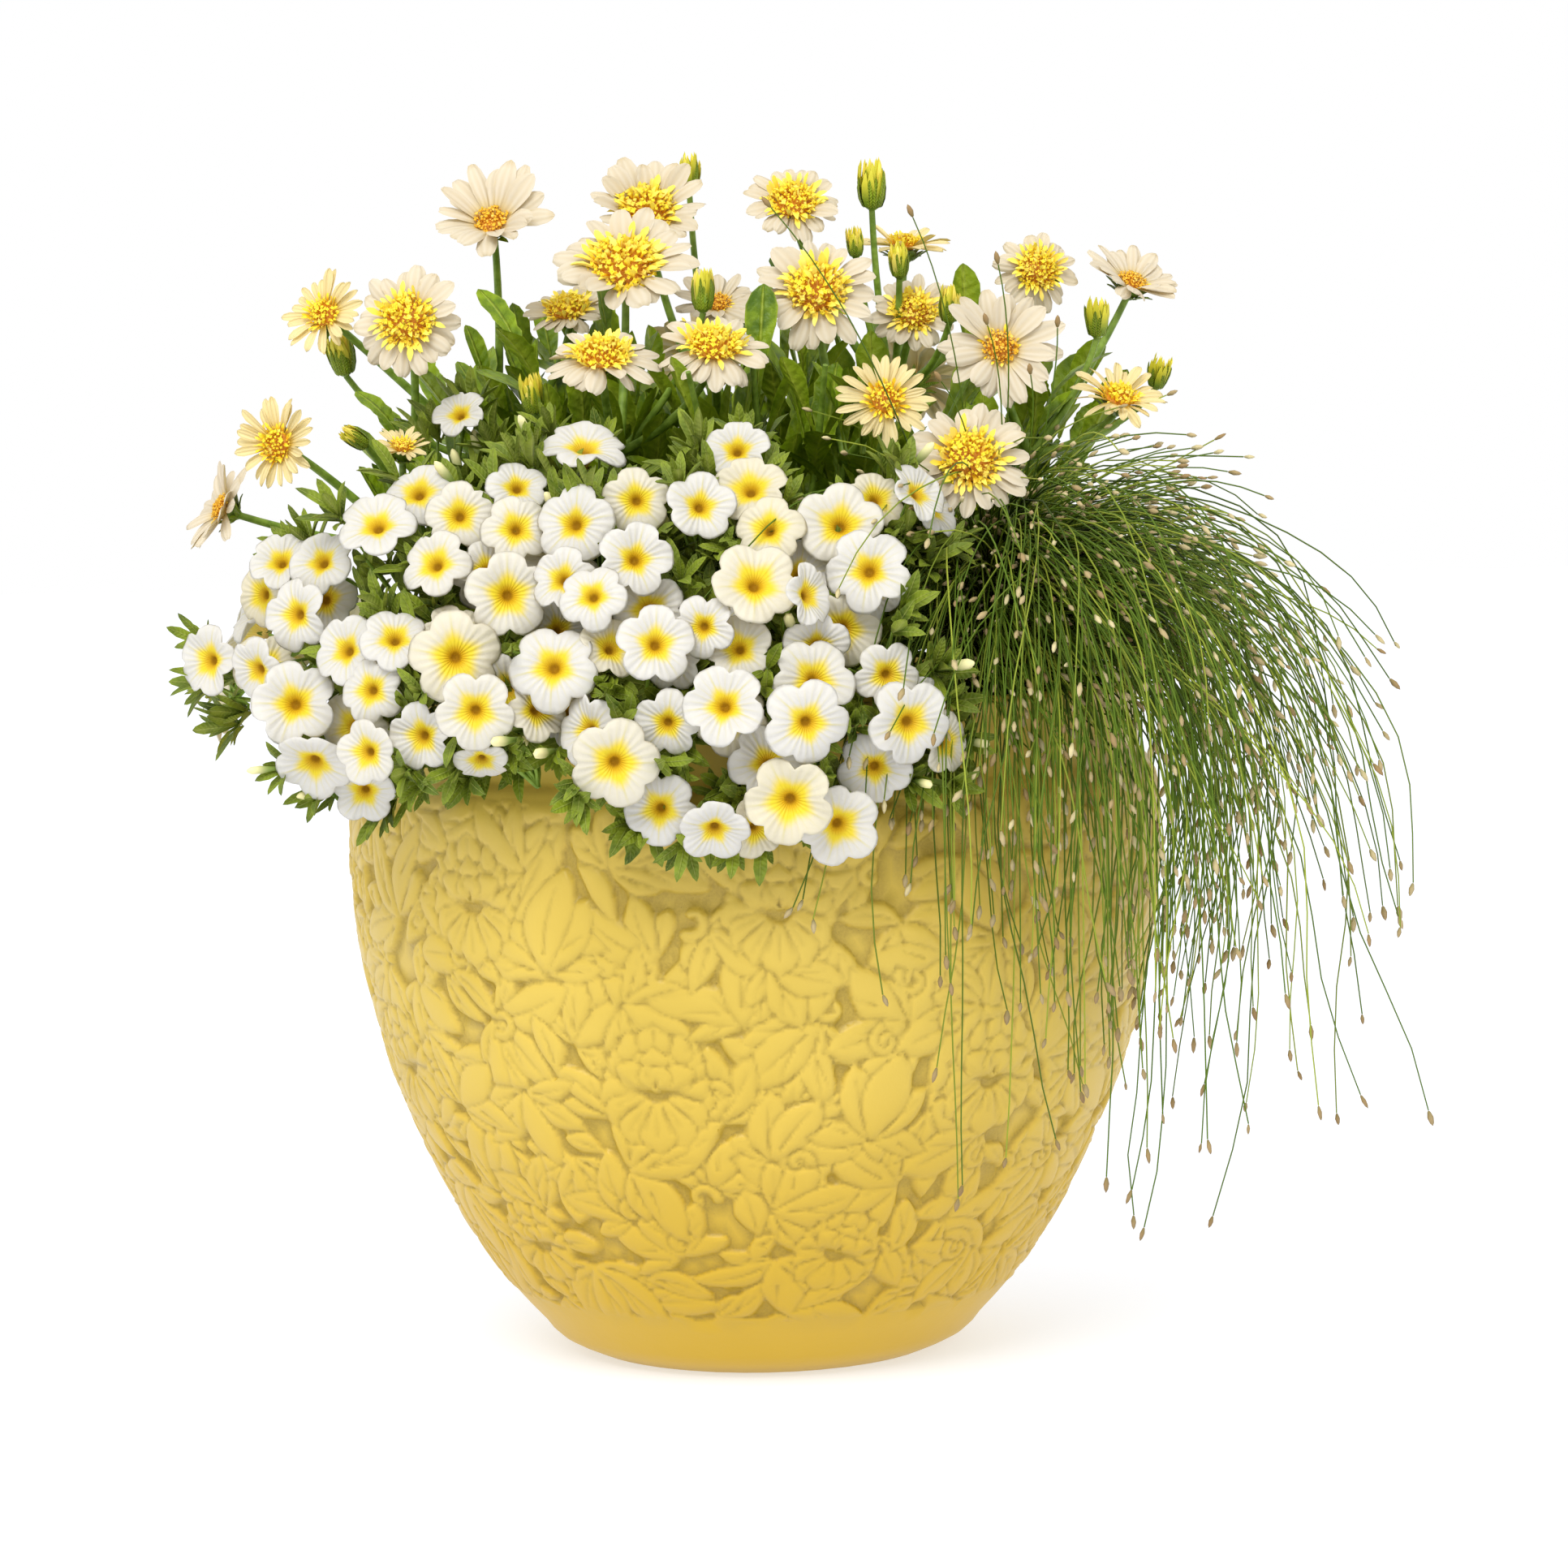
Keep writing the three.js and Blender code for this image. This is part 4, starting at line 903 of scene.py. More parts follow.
# %% What the trees share
def new_tree(name, *sockets):
    """An empty geometry tree with a geometry input and output, and the other inputs named."""
    tree = bpy.data.node_groups.new(name, "GeometryNodeTree")
    tree.interface.new_socket("Geometry", in_out="INPUT", socket_type="NodeSocketGeometry")
    tree.interface.new_socket("Geometry", in_out="OUTPUT", socket_type="NodeSocketGeometry")
    for label, kind, value in sockets:
        socket = tree.interface.new_socket(label, in_out="INPUT", socket_type=f"NodeSocket{kind}")
        if value is not None:
            socket.default_value = value
    return tree, add(tree, "NodeGroupInput").outputs


def end_tree(tree, geometry, material):
    """Instances made real, with smooth faces and a material."""
    real = add(tree, "GeometryNodeRealizeInstances", {0: geometry}).outputs[0]
    smooth = add(tree, "GeometryNodeSetShadeSmooth", {"Geometry": real}).outputs[0]
    finished = add(tree, "GeometryNodeSetMaterial", {"Geometry": smooth, "Material": material}).outputs[0]
    add(tree, "NodeGroupOutput", {0: finished})
    return tree


def carried(tree, name, data_type):
    """A value that the points carry."""
    return add(tree, "GeometryNodeInputNamedAttribute", {"Name": name}, data_type=data_type).outputs[0]


def random_value(tree, low, high, seed, offset, data_type="FLOAT"):
    """A random number for each point. The offset keeps the draws for different uses apart."""
    node = add(tree, "FunctionNodeRandomValue", data_type=data_type)
    first = {"FLOAT": 2, "INT": 4}[data_type]
    node.inputs[first].default_value = low
    if isinstance(high, bpy.types.NodeSocket):
        tree.links.new(high, node.inputs[first + 1])
    else:
        node.inputs[first + 1].default_value = high
    tree.links.new(math_node(tree, "ADD", seed, offset), node.inputs["Seed"])
    return node.outputs[{"FLOAT": 1, "INT": 2}[data_type]]


def pick_from(tree, group):
    """The shapes of a collection as separate instances."""
    inputs = {"Collection": group, "Separate Children": True, "Reset Children": True}
    return add(tree, "GeometryNodeCollectionInfo", inputs).outputs[0]


def to_rotation(tree, turn):
    """A rotation from three angles."""
    return add(tree, "FunctionNodeEulerToRotation", {0: turn}).outputs[0]


def any_kind(tree, given):
    """The number of a random shape in a collection that holds as many as the tree's Kinds."""
    last = math_node(tree, "SUBTRACT", given["Kinds"], 1.0)
    return random_value(tree, 0, last, given["Seed"], 5, "INT")


def strayed(tree, given):
    """Three random numbers round nothing, as large as the tree's Wander."""
    draws = [random_value(tree, -1.0, 1.0, given["Seed"], k) for k in range(3)]
    return [math_node(tree, "MULTIPLY", number, given["Wander"]) for number in draws]


def shaded(tree, copies, seed, offset):
    """The copies, each with a random shade that its material reads."""
    inputs = {"Geometry": copies, "Name": "shade", "Value": random_value(tree, 0.0, 1.0, seed, offset)}
    node = add(tree, "GeometryNodeStoreNamedAttribute", inputs, data_type="FLOAT", domain="INSTANCE")
    return node.outputs[0]


# %% The tree that sets shapes out on points
def set_out_tree():
    """Copies of the shapes, one on each point."""
    sockets = (("Shapes", "Collection", None), ("Finish", "Material", None))
    tree, given = new_tree("Set out shapes on points", *sockets)
    copies = add(tree, "GeometryNodeInstanceOnPoints", {
        "Points": given["Geometry"],
        "Instance": pick_from(tree, given["Shapes"]),
        "Pick Instance": True,
        "Instance Index": carried(tree, "kind", "INT"),
        "Rotation": to_rotation(tree, carried(tree, "turn", "FLOAT_VECTOR")),
        "Scale": carried(tree, "size", "FLOAT_VECTOR"),
    })
    return end_tree(tree, copies.outputs[0], given["Finish"])


# %% The tree that puts petals round a hub
def ray_tree():
    """A ring of petals, where every second one stands a little higher."""
    sockets = (
        ("Petals", "Collection", None), ("Kinds", "Int", 5), ("Count", "Int", 18), ("Hub", "Float", 0.003),
        ("Length", "Float", 0.02), ("Width", "Float", 0.007), ("Rise", "Float", 0.2), ("Wander", "Float", 0.1),
        ("Seed", "Int", 1), ("Finish", "Material", None),
    )
    tree, given = new_tree("Ray petals round a hub", *sockets)
    hub = add(tree, "GeometryNodeMeshCircle", {"Vertices": given["Count"], "Radius": given["Hub"]}).outputs[0]
    index = add(tree, "GeometryNodeInputIndex").outputs[0]
    step = math_node(tree, "DIVIDE", 2 * math.pi, given["Count"])
    seed, stray = given["Seed"], strayed(tree, given)
    heading = math_node(tree, "MULTIPLY_ADD", index, step, math_node(tree, "MULTIPLY", stray[0], 0.5))
    parity = math_node(tree, "MODULO", index, 2.0)
    rise = math_node(tree, "MULTIPLY_ADD", parity, 0.09, math_node(tree, "ADD", given["Rise"], stray[1]))
    turn = add(tree, "ShaderNodeCombineXYZ", {
        0: math_node(tree, "MULTIPLY", stray[2], 1.6),
        1: math_node(tree, "MULTIPLY", rise, -1.0),
        2: heading,
    }).outputs[0]
    length = math_node(tree, "MULTIPLY", given["Length"], random_value(tree, 0.78, 1.09, seed, 4))
    width = math_node(tree, "MULTIPLY", given["Width"], random_value(tree, 0.84, 1.12, seed, 8))
    petals = add(tree, "GeometryNodeInstanceOnPoints", {
        "Points": hub,
        "Instance": pick_from(tree, given["Petals"]),
        "Pick Instance": True,
        "Instance Index": any_kind(tree, given),
        "Rotation": to_rotation(tree, turn),
        "Scale": add(tree, "ShaderNodeCombineXYZ", {0: length, 1: width, 2: width}).outputs[0],
    }).outputs[0]
    return end_tree(tree, shaded(tree, petals, seed, 6), given["Finish"])


# %% The tree that spreads florets over a disc
def floret_tree():
    """Florets on a dome, from upright in the middle to leaning out at the edge."""
    sockets = (
        ("Florets", "Collection", None), ("Kinds", "Int", 3), ("Count", "Int", 60), ("Inner", "Float", 0.0),
        ("Outer", "Float", 0.006), ("Dome", "Float", 0.002), ("Lean inside", "Float", 0.1),
        ("Lean outside", "Float", 0.9), ("Size", "Float", 0.004), ("Wander", "Float", 0.2), ("Seed", "Int", 1),
        ("Finish", "Material", None),
    )
    tree, given = new_tree("Florets along the golden angle", *sockets)
    seeds = add(tree, "GeometryNodePoints", {"Count": given["Count"]}).outputs[0]
    index = add(tree, "GeometryNodeInputIndex").outputs[0]
    part = math_node(tree, "DIVIDE", math_node(tree, "ADD", index, 0.5), given["Count"])
    reach = math_node(tree, "SUBTRACT", given["Outer"], given["Inner"])
    radius = math_node(tree, "MULTIPLY_ADD", math_node(tree, "SQRT", part), reach, given["Inner"])
    angle = math_node(tree, "MULTIPLY", index, math.pi * (3 - math.sqrt(5)))
    out = math_node(tree, "DIVIDE", radius, given["Outer"])
    crown = math_node(tree, "SUBTRACT", 1.0, math_node(tree, "MULTIPLY", out, out))
    place = add(tree, "ShaderNodeCombineXYZ", {
        0: math_node(tree, "MULTIPLY", radius, math_node(tree, "COSINE", angle)),
        1: math_node(tree, "MULTIPLY", radius, math_node(tree, "SINE", angle)),
        2: math_node(tree, "MULTIPLY", crown, given["Dome"]),
    }).outputs[0]
    seed, stray = given["Seed"], strayed(tree, given)
    more = math_node(tree, "SUBTRACT", given["Lean outside"], given["Lean inside"])
    lean = math_node(tree, "MULTIPLY_ADD", out, more, math_node(tree, "ADD", given["Lean inside"], stray[0]))
    turn = add(tree, "ShaderNodeCombineXYZ", {
        0: stray[1],
        1: math_node(tree, "SUBTRACT", lean, math.pi / 2),
        2: math_node(tree, "ADD", angle, stray[2]),
    }).outputs[0]
    florets = add(tree, "GeometryNodeInstanceOnPoints", {
        "Points": add(tree, "GeometryNodeSetPosition", {"Geometry": seeds, "Position": place}).outputs[0],
        "Instance": pick_from(tree, given["Florets"]),
        "Pick Instance": True,
        "Instance Index": any_kind(tree, given),
        "Rotation": to_rotation(tree, turn),
        "Scale": math_node(tree, "MULTIPLY", given["Size"], random_value(tree, 0.62, 1.22, seed, 6)),
    }).outputs[0]
    return end_tree(tree, shaded(tree, florets, seed, 7), given["Finish"])


# %% The tree that draws tubes
def tube_tree():
    """A tube along each line, as thick as the line's points say."""
    sockets = (("Sides", "Int", 5), ("Finish", "Material", None))
    tree, given = new_tree("Tubes along lines", *sockets)
    outline = {"Resolution": given["Sides"], "Radius": 1.0}
    tubes = add(tree, "GeometryNodeCurveToMesh", {
        "Curve": add(tree, "GeometryNodeMeshToCurve", {0: given["Geometry"]}).outputs[0],
        "Profile Curve": add(tree, "GeometryNodeCurvePrimitiveCircle", outline).outputs[0],
        "Scale": carried(tree, "thick", "FLOAT"),
        "Fill Caps": True,
    })
    return end_tree(tree, tubes.outputs[0], given["Finish"])


set_out, ray_ring, floret_disc, tubes_on = set_out_tree(), ray_tree(), floret_tree(), tube_tree()
print("Nodes in each tree:", [len(tree.nodes) for tree in (set_out, ray_ring, floret_disc, tubes_on)])


# %% Running a tree
def grown(tree, source=None, **inputs):
    """Runs a tree on a mesh and returns the plain mesh that comes out."""
    holder = bpy.data.objects.new("holder", source or bpy.data.meshes.new("empty"))
    bpy.context.scene.collection.objects.link(holder)
    modifier = holder.modifiers.new("grow", "NODES")
    modifier.node_group = tree
    sockets = {s.name: s.identifier for s in tree.interface.items_tree if s.in_out == "INPUT"}
    for label, value in inputs.items():
        modifier[sockets[label.replace("_", " ")]] = value
    depsgraph = bpy.context.evaluated_depsgraph_get()
    mesh = bpy.data.meshes.new_from_object(
        holder.evaluated_get(depsgraph), preserve_all_data_layers=True, depsgraph=depsgraph
    )
    bpy.data.objects.remove(holder)
    return mesh


# %% Points and lines for the trees
def points_mesh(rows):
    """Points to set shapes out on. Each row is a place, the axes of the shape, its size, kind and shade."""
    mesh = bpy.data.meshes.new("points")
    mesh.from_pydata([tuple(np.asarray(place, float) * MM) for place, *_ in rows], [], [])
    turns, sizes = [], []
    for _, (ahead, up), size, _, _ in rows:
        x = unit(ahead)
        y = unit(np.cross(up, x))
        turn = Matrix((x, y, np.cross(x, y))).transposed().to_euler()
        turns += list(turn)
        sizes += list(np.broadcast_to(np.asarray(size, float) * MM, 3))
    mesh.attributes.new("turn", "FLOAT_VECTOR", "POINT").data.foreach_set("vector", turns)
    mesh.attributes.new("size", "FLOAT_VECTOR", "POINT").data.foreach_set("vector", sizes)
    mesh.attributes.new("kind", "INT", "POINT").data.foreach_set("value", [int(row[3]) for row in rows])
    mesh.attributes.new("shade", "FLOAT", "POINT").data.foreach_set("value", [float(row[4]) for row in rows])
    return mesh


def lines_mesh(lines):
    """Open lines to draw tubes along. Each is its points, their radii and a shade."""
    points, edges, thick, along, shades = [], [], [], [], []
    for route, radii, shade in lines:
        start, count = len(points), len(route)
        points += [tuple(np.asarray(p, float) * MM) for p in route]
        edges += [(start + i, start + i + 1) for i in range(count - 1)]
        thick += list(np.broadcast_to(np.asarray(radii, float) * MM, count))
        along += list(np.linspace(0, 1, count))
        shades += [shade] * count
    mesh = bpy.data.meshes.new("lines")
    mesh.from_pydata(points, edges, [])
    for key, values in (("thick", thick), ("along", along), ("shade", shades)):
        mesh.attributes.new(key, "FLOAT", "POINT").data.foreach_set("value", values)
    return mesh


# %% Joining, curves and the frame of a flower
def joined(name, meshes):
    """One mesh from several, each kept with its values and materials."""
    objects = [show(f"{name}_part", mesh) for mesh in meshes]
    with bpy.context.temp_override(
        active_object=objects[0], object=objects[0],
        selected_objects=objects, selected_editable_objects=objects,
    ):
        bpy.ops.object.join()
    mesh = objects[0].data
    bpy.data.objects.remove(objects[0])
    mesh.name = name
    return mesh


def bezier(points, count):
    """Points along a curve with two to four control points."""
    t = np.linspace(0, 1, count)[:, None]
    level = [np.asarray(p, float)[None, :] for p in points]
    while len(level) > 1:
        level = [a + (b - a) * t for a, b in zip(level, level[1:])]
    return np.broadcast_to(level[0], (count, 3))


def flower_frame(place, normal):
    """The matrix that takes a flower from its own frame, facing +Z, to where it is on the plant."""
    side = np.cross([0, 0, 1], normal)
    side = unit(side) if np.linalg.norm(side) >= 0.2 else np.array([1.0, 0, 0])
    upward = unit(np.cross(normal, side))
    side = np.cross(upward, normal)
    axes = Matrix((side, upward, normal)).transposed().to_4x4()
    return Matrix.Translation(Vector(np.asarray(place) * MM)) @ axes


# %% [markdown]
# ## Materials of the plants
#
# A petal is a film of water-filled cells a few tenths of a millimetre thick. Light enters, scatters and
# comes out on both sides, so each petal and leaf mixes a plain surface with a share of Translucent. A daisy
# petal is cream with a yellow root and fine stripes that run its length. Leaves have a waxy coat: they are
# darker, and glossier, with a paler middle vein and a matt, greyer underside.


# %% Petal and leaf tissue
def stripes(tree, count):
    """Fine ridges that run along a blade, as many as the count on each side of its middle."""
    wave = math_node(tree, "SINE", math_node(tree, "MULTIPLY", attribute(tree, "across"), count * math.pi))
    return math_node(tree, "MULTIPLY_ADD", wave, 0.5, 0.5)


def ray_tint(body, root, edge):
    """The colour of a ray petal: the root's yellow at its foot, fine stripes, and a worn tip."""

    def tint(tree):
        along, shade = attribute(tree, "along"), attribute(tree, "shade")
        base = blend(tree, map_range(tree, along, 0.02, 0.42, 1.0, 0.0), body, root)
        line = math_node(tree, "MULTIPLY", stripes(tree, 3), map_range(tree, along, 0.1, 0.9, 0.42, 0.16))
        lined = blend(tree, line, base, edge)
        worn = math_node(tree, "MULTIPLY", map_range(tree, along, 0.82, 1.0), map_range(tree, shade, 0.3, 1.0))
        tipped = blend(tree, math_node(tree, "MULTIPLY", worn, 0.5), lined, edge)
        below = math_node(tree, "MULTIPLY", attribute(tree, "under"), 0.45)
        return blend(tree, below, tipped, root)

    return tint


def ridged(tree):
    """The fine ridges of a ray petal."""
    return stripes(tree, 2.5)


# Petal tissue: a soft film that lets a third of the light through
petal_film = {"through": 0.32, "bump": (ridged, 0.2), "IOR": 1.35}
cream_tint = ray_tint("#EBE1CB", "#EDD684", "#D2BC84")
lemon_tint = ray_tint("#F9EBB6", "#F8D83A", "#EFD67A")
cream_petal = finish_material("cream_petal_tissue", cream_tint, 0.55, **petal_film)
lemon_petal = finish_material("lemon_petal_tissue", lemon_tint, 0.55, **petal_film)


def floret_tint(deep, bright):
    """The colour of a floret: deep at its foot, bright at its mouth, and some paler than others."""

    def tint(tree):
        along, shade = attribute(tree, "along"), attribute(tree, "shade")
        colour = blend(tree, map_range(tree, along, 0.1, 0.8), deep, bright)
        return blend(tree, map_range(tree, shade, 0.6, 1.0, 0.0, 0.5), colour, "#FFE27A")

    return tint


# Floret tissue: many small tubes, so close together that hardly any light comes through
golden_floret = finish_material("golden_floret_tissue", floret_tint("#FABA04", "#FFE22E"), 0.6)
lemon_floret = finish_material("lemon_floret_tissue", floret_tint("#FBCB14", "#FFEA58"), 0.6)
amber_floret = finish_material("amber_floret_tissue", floret_tint("#CE8606", "#F8BE26"), 0.6)
bud_petal = finish_material("green_lemon_bud_petal", floret_tint("#6F8A18", "#CFC62A"), 0.6)


# %% Leaves and stalks
def leaf_tint(body, pale, below):
    """The colour of a leaf: mottled, with a pale middle vein and rim, and a greyer underside."""

    def tint(tree):
        across, shade = attribute(tree, "across"), attribute(tree, "shade")
        middle = math_node(tree, "ABSOLUTE", across)
        mottled = blend(tree, map_range(tree, noise(tree, 9, 3), 0.3, 0.7), body, pale)
        varied = blend(tree, math_node(tree, "MULTIPLY", shade, 0.45), mottled, pale)
        vein = blend(tree, map_range(tree, middle, 0.0, 0.16, 0.55, 0.0), varied, below)
        rim = blend(tree, map_range(tree, middle, 0.86, 1.0, 0.0, 0.4), vein, below)
        return blend(tree, math_node(tree, "MULTIPLY", attribute(tree, "under"), 0.55), rim, below)

    return tint


def leaf_veins(tree):
    """A middle vein, and side veins that run out and forward from it, about five millimetres apart."""
    middle = math_node(tree, "ABSOLUTE", attribute(tree, "across"))
    forward = math_node(tree, "MULTIPLY", attribute(tree, "along"), 62)
    chevron = math_node(tree, "SUBTRACT", forward, math_node(tree, "MULTIPLY", middle, 6))
    side = math_node(tree, "MULTIPLY_ADD", math_node(tree, "SINE", chevron), 0.18, noise(tree, 2, 3))
    return math_node(tree, "ADD", side, map_range(tree, middle, 0.0, 0.2, -1.0, 0.0))


# A waxy leaf with a gloss, and a matt one with fine hairs
daisy_tint = leaf_tint("#4A6A04", "#90AA14", "#B6C43E")
daisy_leaf = finish_material("waxy_daisy_leaf", daisy_tint, 0.42, (leaf_veins, 0.5), through=0.2, IOR=1.38)
hairy_tint = leaf_tint("#4A6008", "#90A120", "#BEC860")
hairy_leaf = finish_material("hairy_calibrachoa_leaf", hairy_tint, 0.62, (leaf_veins, 0.3), through=0.2)


def stalk_tint(tree):
    """Two greens in patches, a little darker towards the flower."""
    along = attribute(tree, "along")
    green = blend(tree, map_range(tree, noise(tree, 5, 2), 0.3, 0.7), "#64801E", "#8AA63C")
    return blend(tree, map_range(tree, along, 0.6, 1.0, 0.0, 0.25), green, "#48581E")


def stalk_grain(tree):
    """Skin that isn't quite even, at about a millimetre."""
    return noise(tree, 1.2, 3)


# The skin of stalks and shoots, too thick to let light through
green_stalk = finish_material("green_stalk_skin", stalk_tint, 0.5, (stalk_grain, 0.25), IOR=1.4)
print("Materials so far:", [material.name for material in bpy.data.materials])

# %% [markdown]
# ## African daisies
#
# Each head is two pieces on one receptacle: a ring of ray petals, and a disc of florets. The heads here
# differ a lot. Some are single, with wide cream petals round a small amber disc. Many are double, where the
# florets have grown into a shaggy yellow pompon. The young ones are still lemon yellow. The list gives, for
# each head, where its middle shows in the picture, its width there, its depth, how it faces, how steeply its
# petals rise, and its kind. The CAD model was made from the same list, but for a few tilts and rises that
# the picture has corrected.

# %% The heads
HEADS = [
    (606, 276, 166, 10, -8, 46, 28, "single"), (797, 262, 156, 62, 4, 44, 26, "double"),
    (769, 330, 182, -12, -3, 46, 12, "double"), (400, 388, 108, 14, -24, 22, 8, "young"),
    (501, 397, 142, -42, -8, 16, -6, "double"), (342, 548, 118, -40, -22, 10, 12, "young"),
    (276, 627, 128, -62, -66, 24, 16, "single"), (742, 443, 148, -66, 2, 64, -4, "double"),
    (880, 430, 142, -62, 8, 58, -4, "double"), (884, 376, 116, 14, 4, 50, 10, "single"),
    (700, 384, 112, 34, -10, 60, 4, "double"), (496, 552, 72, -62, 6, 58, 16, "young"),
    (978, 252, 126, 26, 4, 44, 6, "double"), (1006, 360, 154, -30, 2, 30, 2, "double"),
    (1114, 304, 112, 48, 8, 80, 4, "young"), (1126, 386, 112, 12, 4, 28, 4, "double"),
    (1232, 430, 158, -48, 6, 20, 8, "single"), (1278, 334, 108, 22, 10, 18, -12, "double"),
    (1394, 350, 132, 18, 34, 58, 26, "single"), (1091, 494, 120, -84, 4, 20, 6, "young"),
    (1195, 568, 156, -112, 4, 26, 4, "double"), (1378, 492, 126, -20, 24, 60, 12, "young"),
    (862, 436, 140, 128, 170, 42, 4, "double"), (1130, 470, 136, 118, 150, 34, 6, "single"),
]
DISC_SHARE = {"single": 0.24, "double": 0.43, "young": 0.34}


# %% Petals, florets and bracts
def curl(lift, drop):
    """A blade's height along its length: it rises, then its tip comes down."""
    return lambda share: lift * share - drop * share**2


spoon = [(0.04, 0.18), (0.2, 0.3), (0.45, 0.46), (0.66, 0.5), (0.85, 0.38), (0.955, 0.2)]
slim = [(0.04, 0.2), (0.22, 0.3), (0.48, 0.44), (0.72, 0.5), (0.9, 0.36), (0.97, 0.16)]
wide_rays = family("wide_ray", [
    lens(f"wide_ray_{i}", spoon, curl(lift, drop), fold=fold, droop=droop, tip=tip, twist=twist, ruffle=ruffle,
         thickness=0.045)
    for i, (lift, drop, fold, droop, tip, twist, ruffle) in enumerate([
        (0.30, 0.34, 0.25, 0.0, 1.0, 0.08, 0.02), (0.45, 0.75, 0.0, 0.35, 0.965, -0.2, 0.03),
        (0.10, 0.08, 0.40, 0.0, 0.985, 0.0, 0.0), (0.36, 0.6, 0.1, 0.2, 1.0, 0.25, 0.03),
        (0.55, 0.95, 0.0, 0.25, 0.955, -0.1, 0.02),
    ])
])
slim_rays = family("slim_ray", [
    lens(f"slim_ray_{i}", slim, curl(lift, drop), fold=fold, twist=twist, thickness=0.08)
    for i, (lift, drop, fold, twist) in enumerate([
        (0.4, 0.2, 0.5, 0.2), (0.7, 0.8, 0.3, -0.4), (0.1, -0.3, 0.6, 0.1), (0.5, 1.0, 0.2, 0.5),
        (0.2, 0.4, 0.4, -0.2),
    ])
])
strap = [(0.1, 0.06), (0.4, 0.1), (0.72, 0.15), (0.9, 0.09)]
straps = family("strap_floret", [
    lens(f"strap_{i}", strap, curl(lift, drop), across=2, fold=0.6, thickness=0.05, twist=twist)
    for i, (lift, drop, twist) in enumerate([(0.1, 0.3, 0.4), (0.0, -0.25, -0.5), (0.2, 0.5, 0.2)])
])


def unit_body(name, rings):
    """A closed body through rings that stand round +X, one unit long."""
    points, faces = lofted(rings)
    along, zeros = [p[0] for p in points], [0.0] * len(points)
    outward = [face[::-1] for face in faces]
    return mesh_of(name, np.array(points) / MM, outward, along=along, across=zeros, under=zeros)


def trumpet(name, flare, sides=8):
    """A tiny tube on +X that opens into a star, the shape of one floret."""
    rings = [[(0.0, 0.0, 0.0)]]
    for share, radius, star in ((0.0, 0.08, 0), (0.72, 0.11, 0), (1.0, flare, 0.5), (0.84, 0.05, 0)):
        section = []
        for k in range(sides):
            a, wide = k * math.pi / sides * 2, radius * (1 - star * (k % 2))
            section.append((share + 0.1 * star * (k % 2 == 0), wide * math.cos(a), wide * math.sin(a)))
        rings.append(section)
    rings.append([(0.72, 0.0, 0.0)])
    return unit_body(name, rings)


trumpets = family("trumpet_floret", [trumpet(f"trumpet_{i}", flare) for i, flare in enumerate((0.34, 0.46, 0.24))])
bract_shape = [(0.08, 0.13), (0.35, 0.15), (0.7, 0.11), (0.92, 0.05)]
bracts = family("bract", [
    lens(f"bract_{i}", bract_shape, curl(lift, drop), across=2, fold=0.3, thickness=0.07)
    for i, (lift, drop) in enumerate([(0.0, 0.22), (0.05, 0.35), (-0.02, 0.12)])
])
bud_bract_shape = [(0.06, 0.06), (0.3, 0.085), (0.65, 0.075), (0.9, 0.035)]
bud_bracts = family("bud_bract", [
    lens(f"bud_bract_{i}", bud_bract_shape, curl(lift, drop), across=2, fold=-0.25, thickness=0.05)
    for i, (lift, drop) in enumerate([(-0.34, -0.26), (-0.36, -0.3), (-0.3, -0.18)])
])

# %% The kinds of head
# For each kind: its petals, how many, and their material. Then for each layer of florets: its shape, number,
# inner and outer reach as shares of the disc, dome, lean inside and outside, size, and material
KINDS = {
    "single": (wide_rays, 20, cream_petal, [
        (trumpets, 90, 0.0, 1.0, 0.25, 0.0, 0.5, 0.36, amber_floret),
        (straps, 16, 0.86, 1.04, 0.0, 0.7, 1.0, 0.62, golden_floret),
    ]),
    "double": (wide_rays, 19, cream_petal, [
        (straps, 46, 0.5, 0.95, 0.1, 0.3, 1.1, 0.74, lemon_floret),
        (trumpets, 124, 0.0, 0.9, 0.4, 0.0, 1.0, 0.34, golden_floret),
        (straps, 20, 0.0, 0.6, 0.42, 0.0, 0.7, 0.62, lemon_floret),
    ]),
    "young": (slim_rays, 24, lemon_petal, [
        (straps, 40, 0.5, 1.0, 0.16, 0.15, 0.75, 0.66, golden_floret),
        (trumpets, 46, 0.0, 0.7, 0.26, 0.0, 0.5, 0.42, golden_floret),
    ]),
}


class Head:
    """A daisy head's place on the plant."""

    def __init__(self, col, row, width, depth, turn, lift, rise, kind):
        self.place, self.normal = seen_at(col, row, depth), facing(turn, lift)
        self.reach = real_size(width, depth) / 2
        self.disc = self.reach * DISC_SHARE[kind]
        self.rise, self.kind = rise, kind
        self.frame = flower_frame(self.place, self.normal)


# %% Heads
def plain_body(name, rings, material):
    """A closed body through rings. The numbers that its material reads are nothing everywhere."""
    points, faces = lofted(rings)
    zeros = [0.0] * len(points)
    mesh = mesh_of(name, points, faces, along=zeros, shade=zeros)
    mesh.materials.append(material)
    return mesh


def ray_petals(i, head):
    """The ring of ray petals of one head."""
    shapes, count, petal, _ = KINDS[head.kind]
    hub = head.disc * 0.72
    overlap = 1.05 if head.kind == "young" else 1.34
    rays = grown(
        ray_ring, Petals=shapes, Kinds=5, Count=count, Hub=hub * MM, Length=(head.reach - hub) * MM * 1.03,
        Width=2 * math.pi * 0.75 * head.reach / count * MM * overlap, Rise=math.radians(head.rise), Wander=0.24,
        Seed=100 + i, Finish=petal,
    )
    rays.transform(head.frame)
    return rays


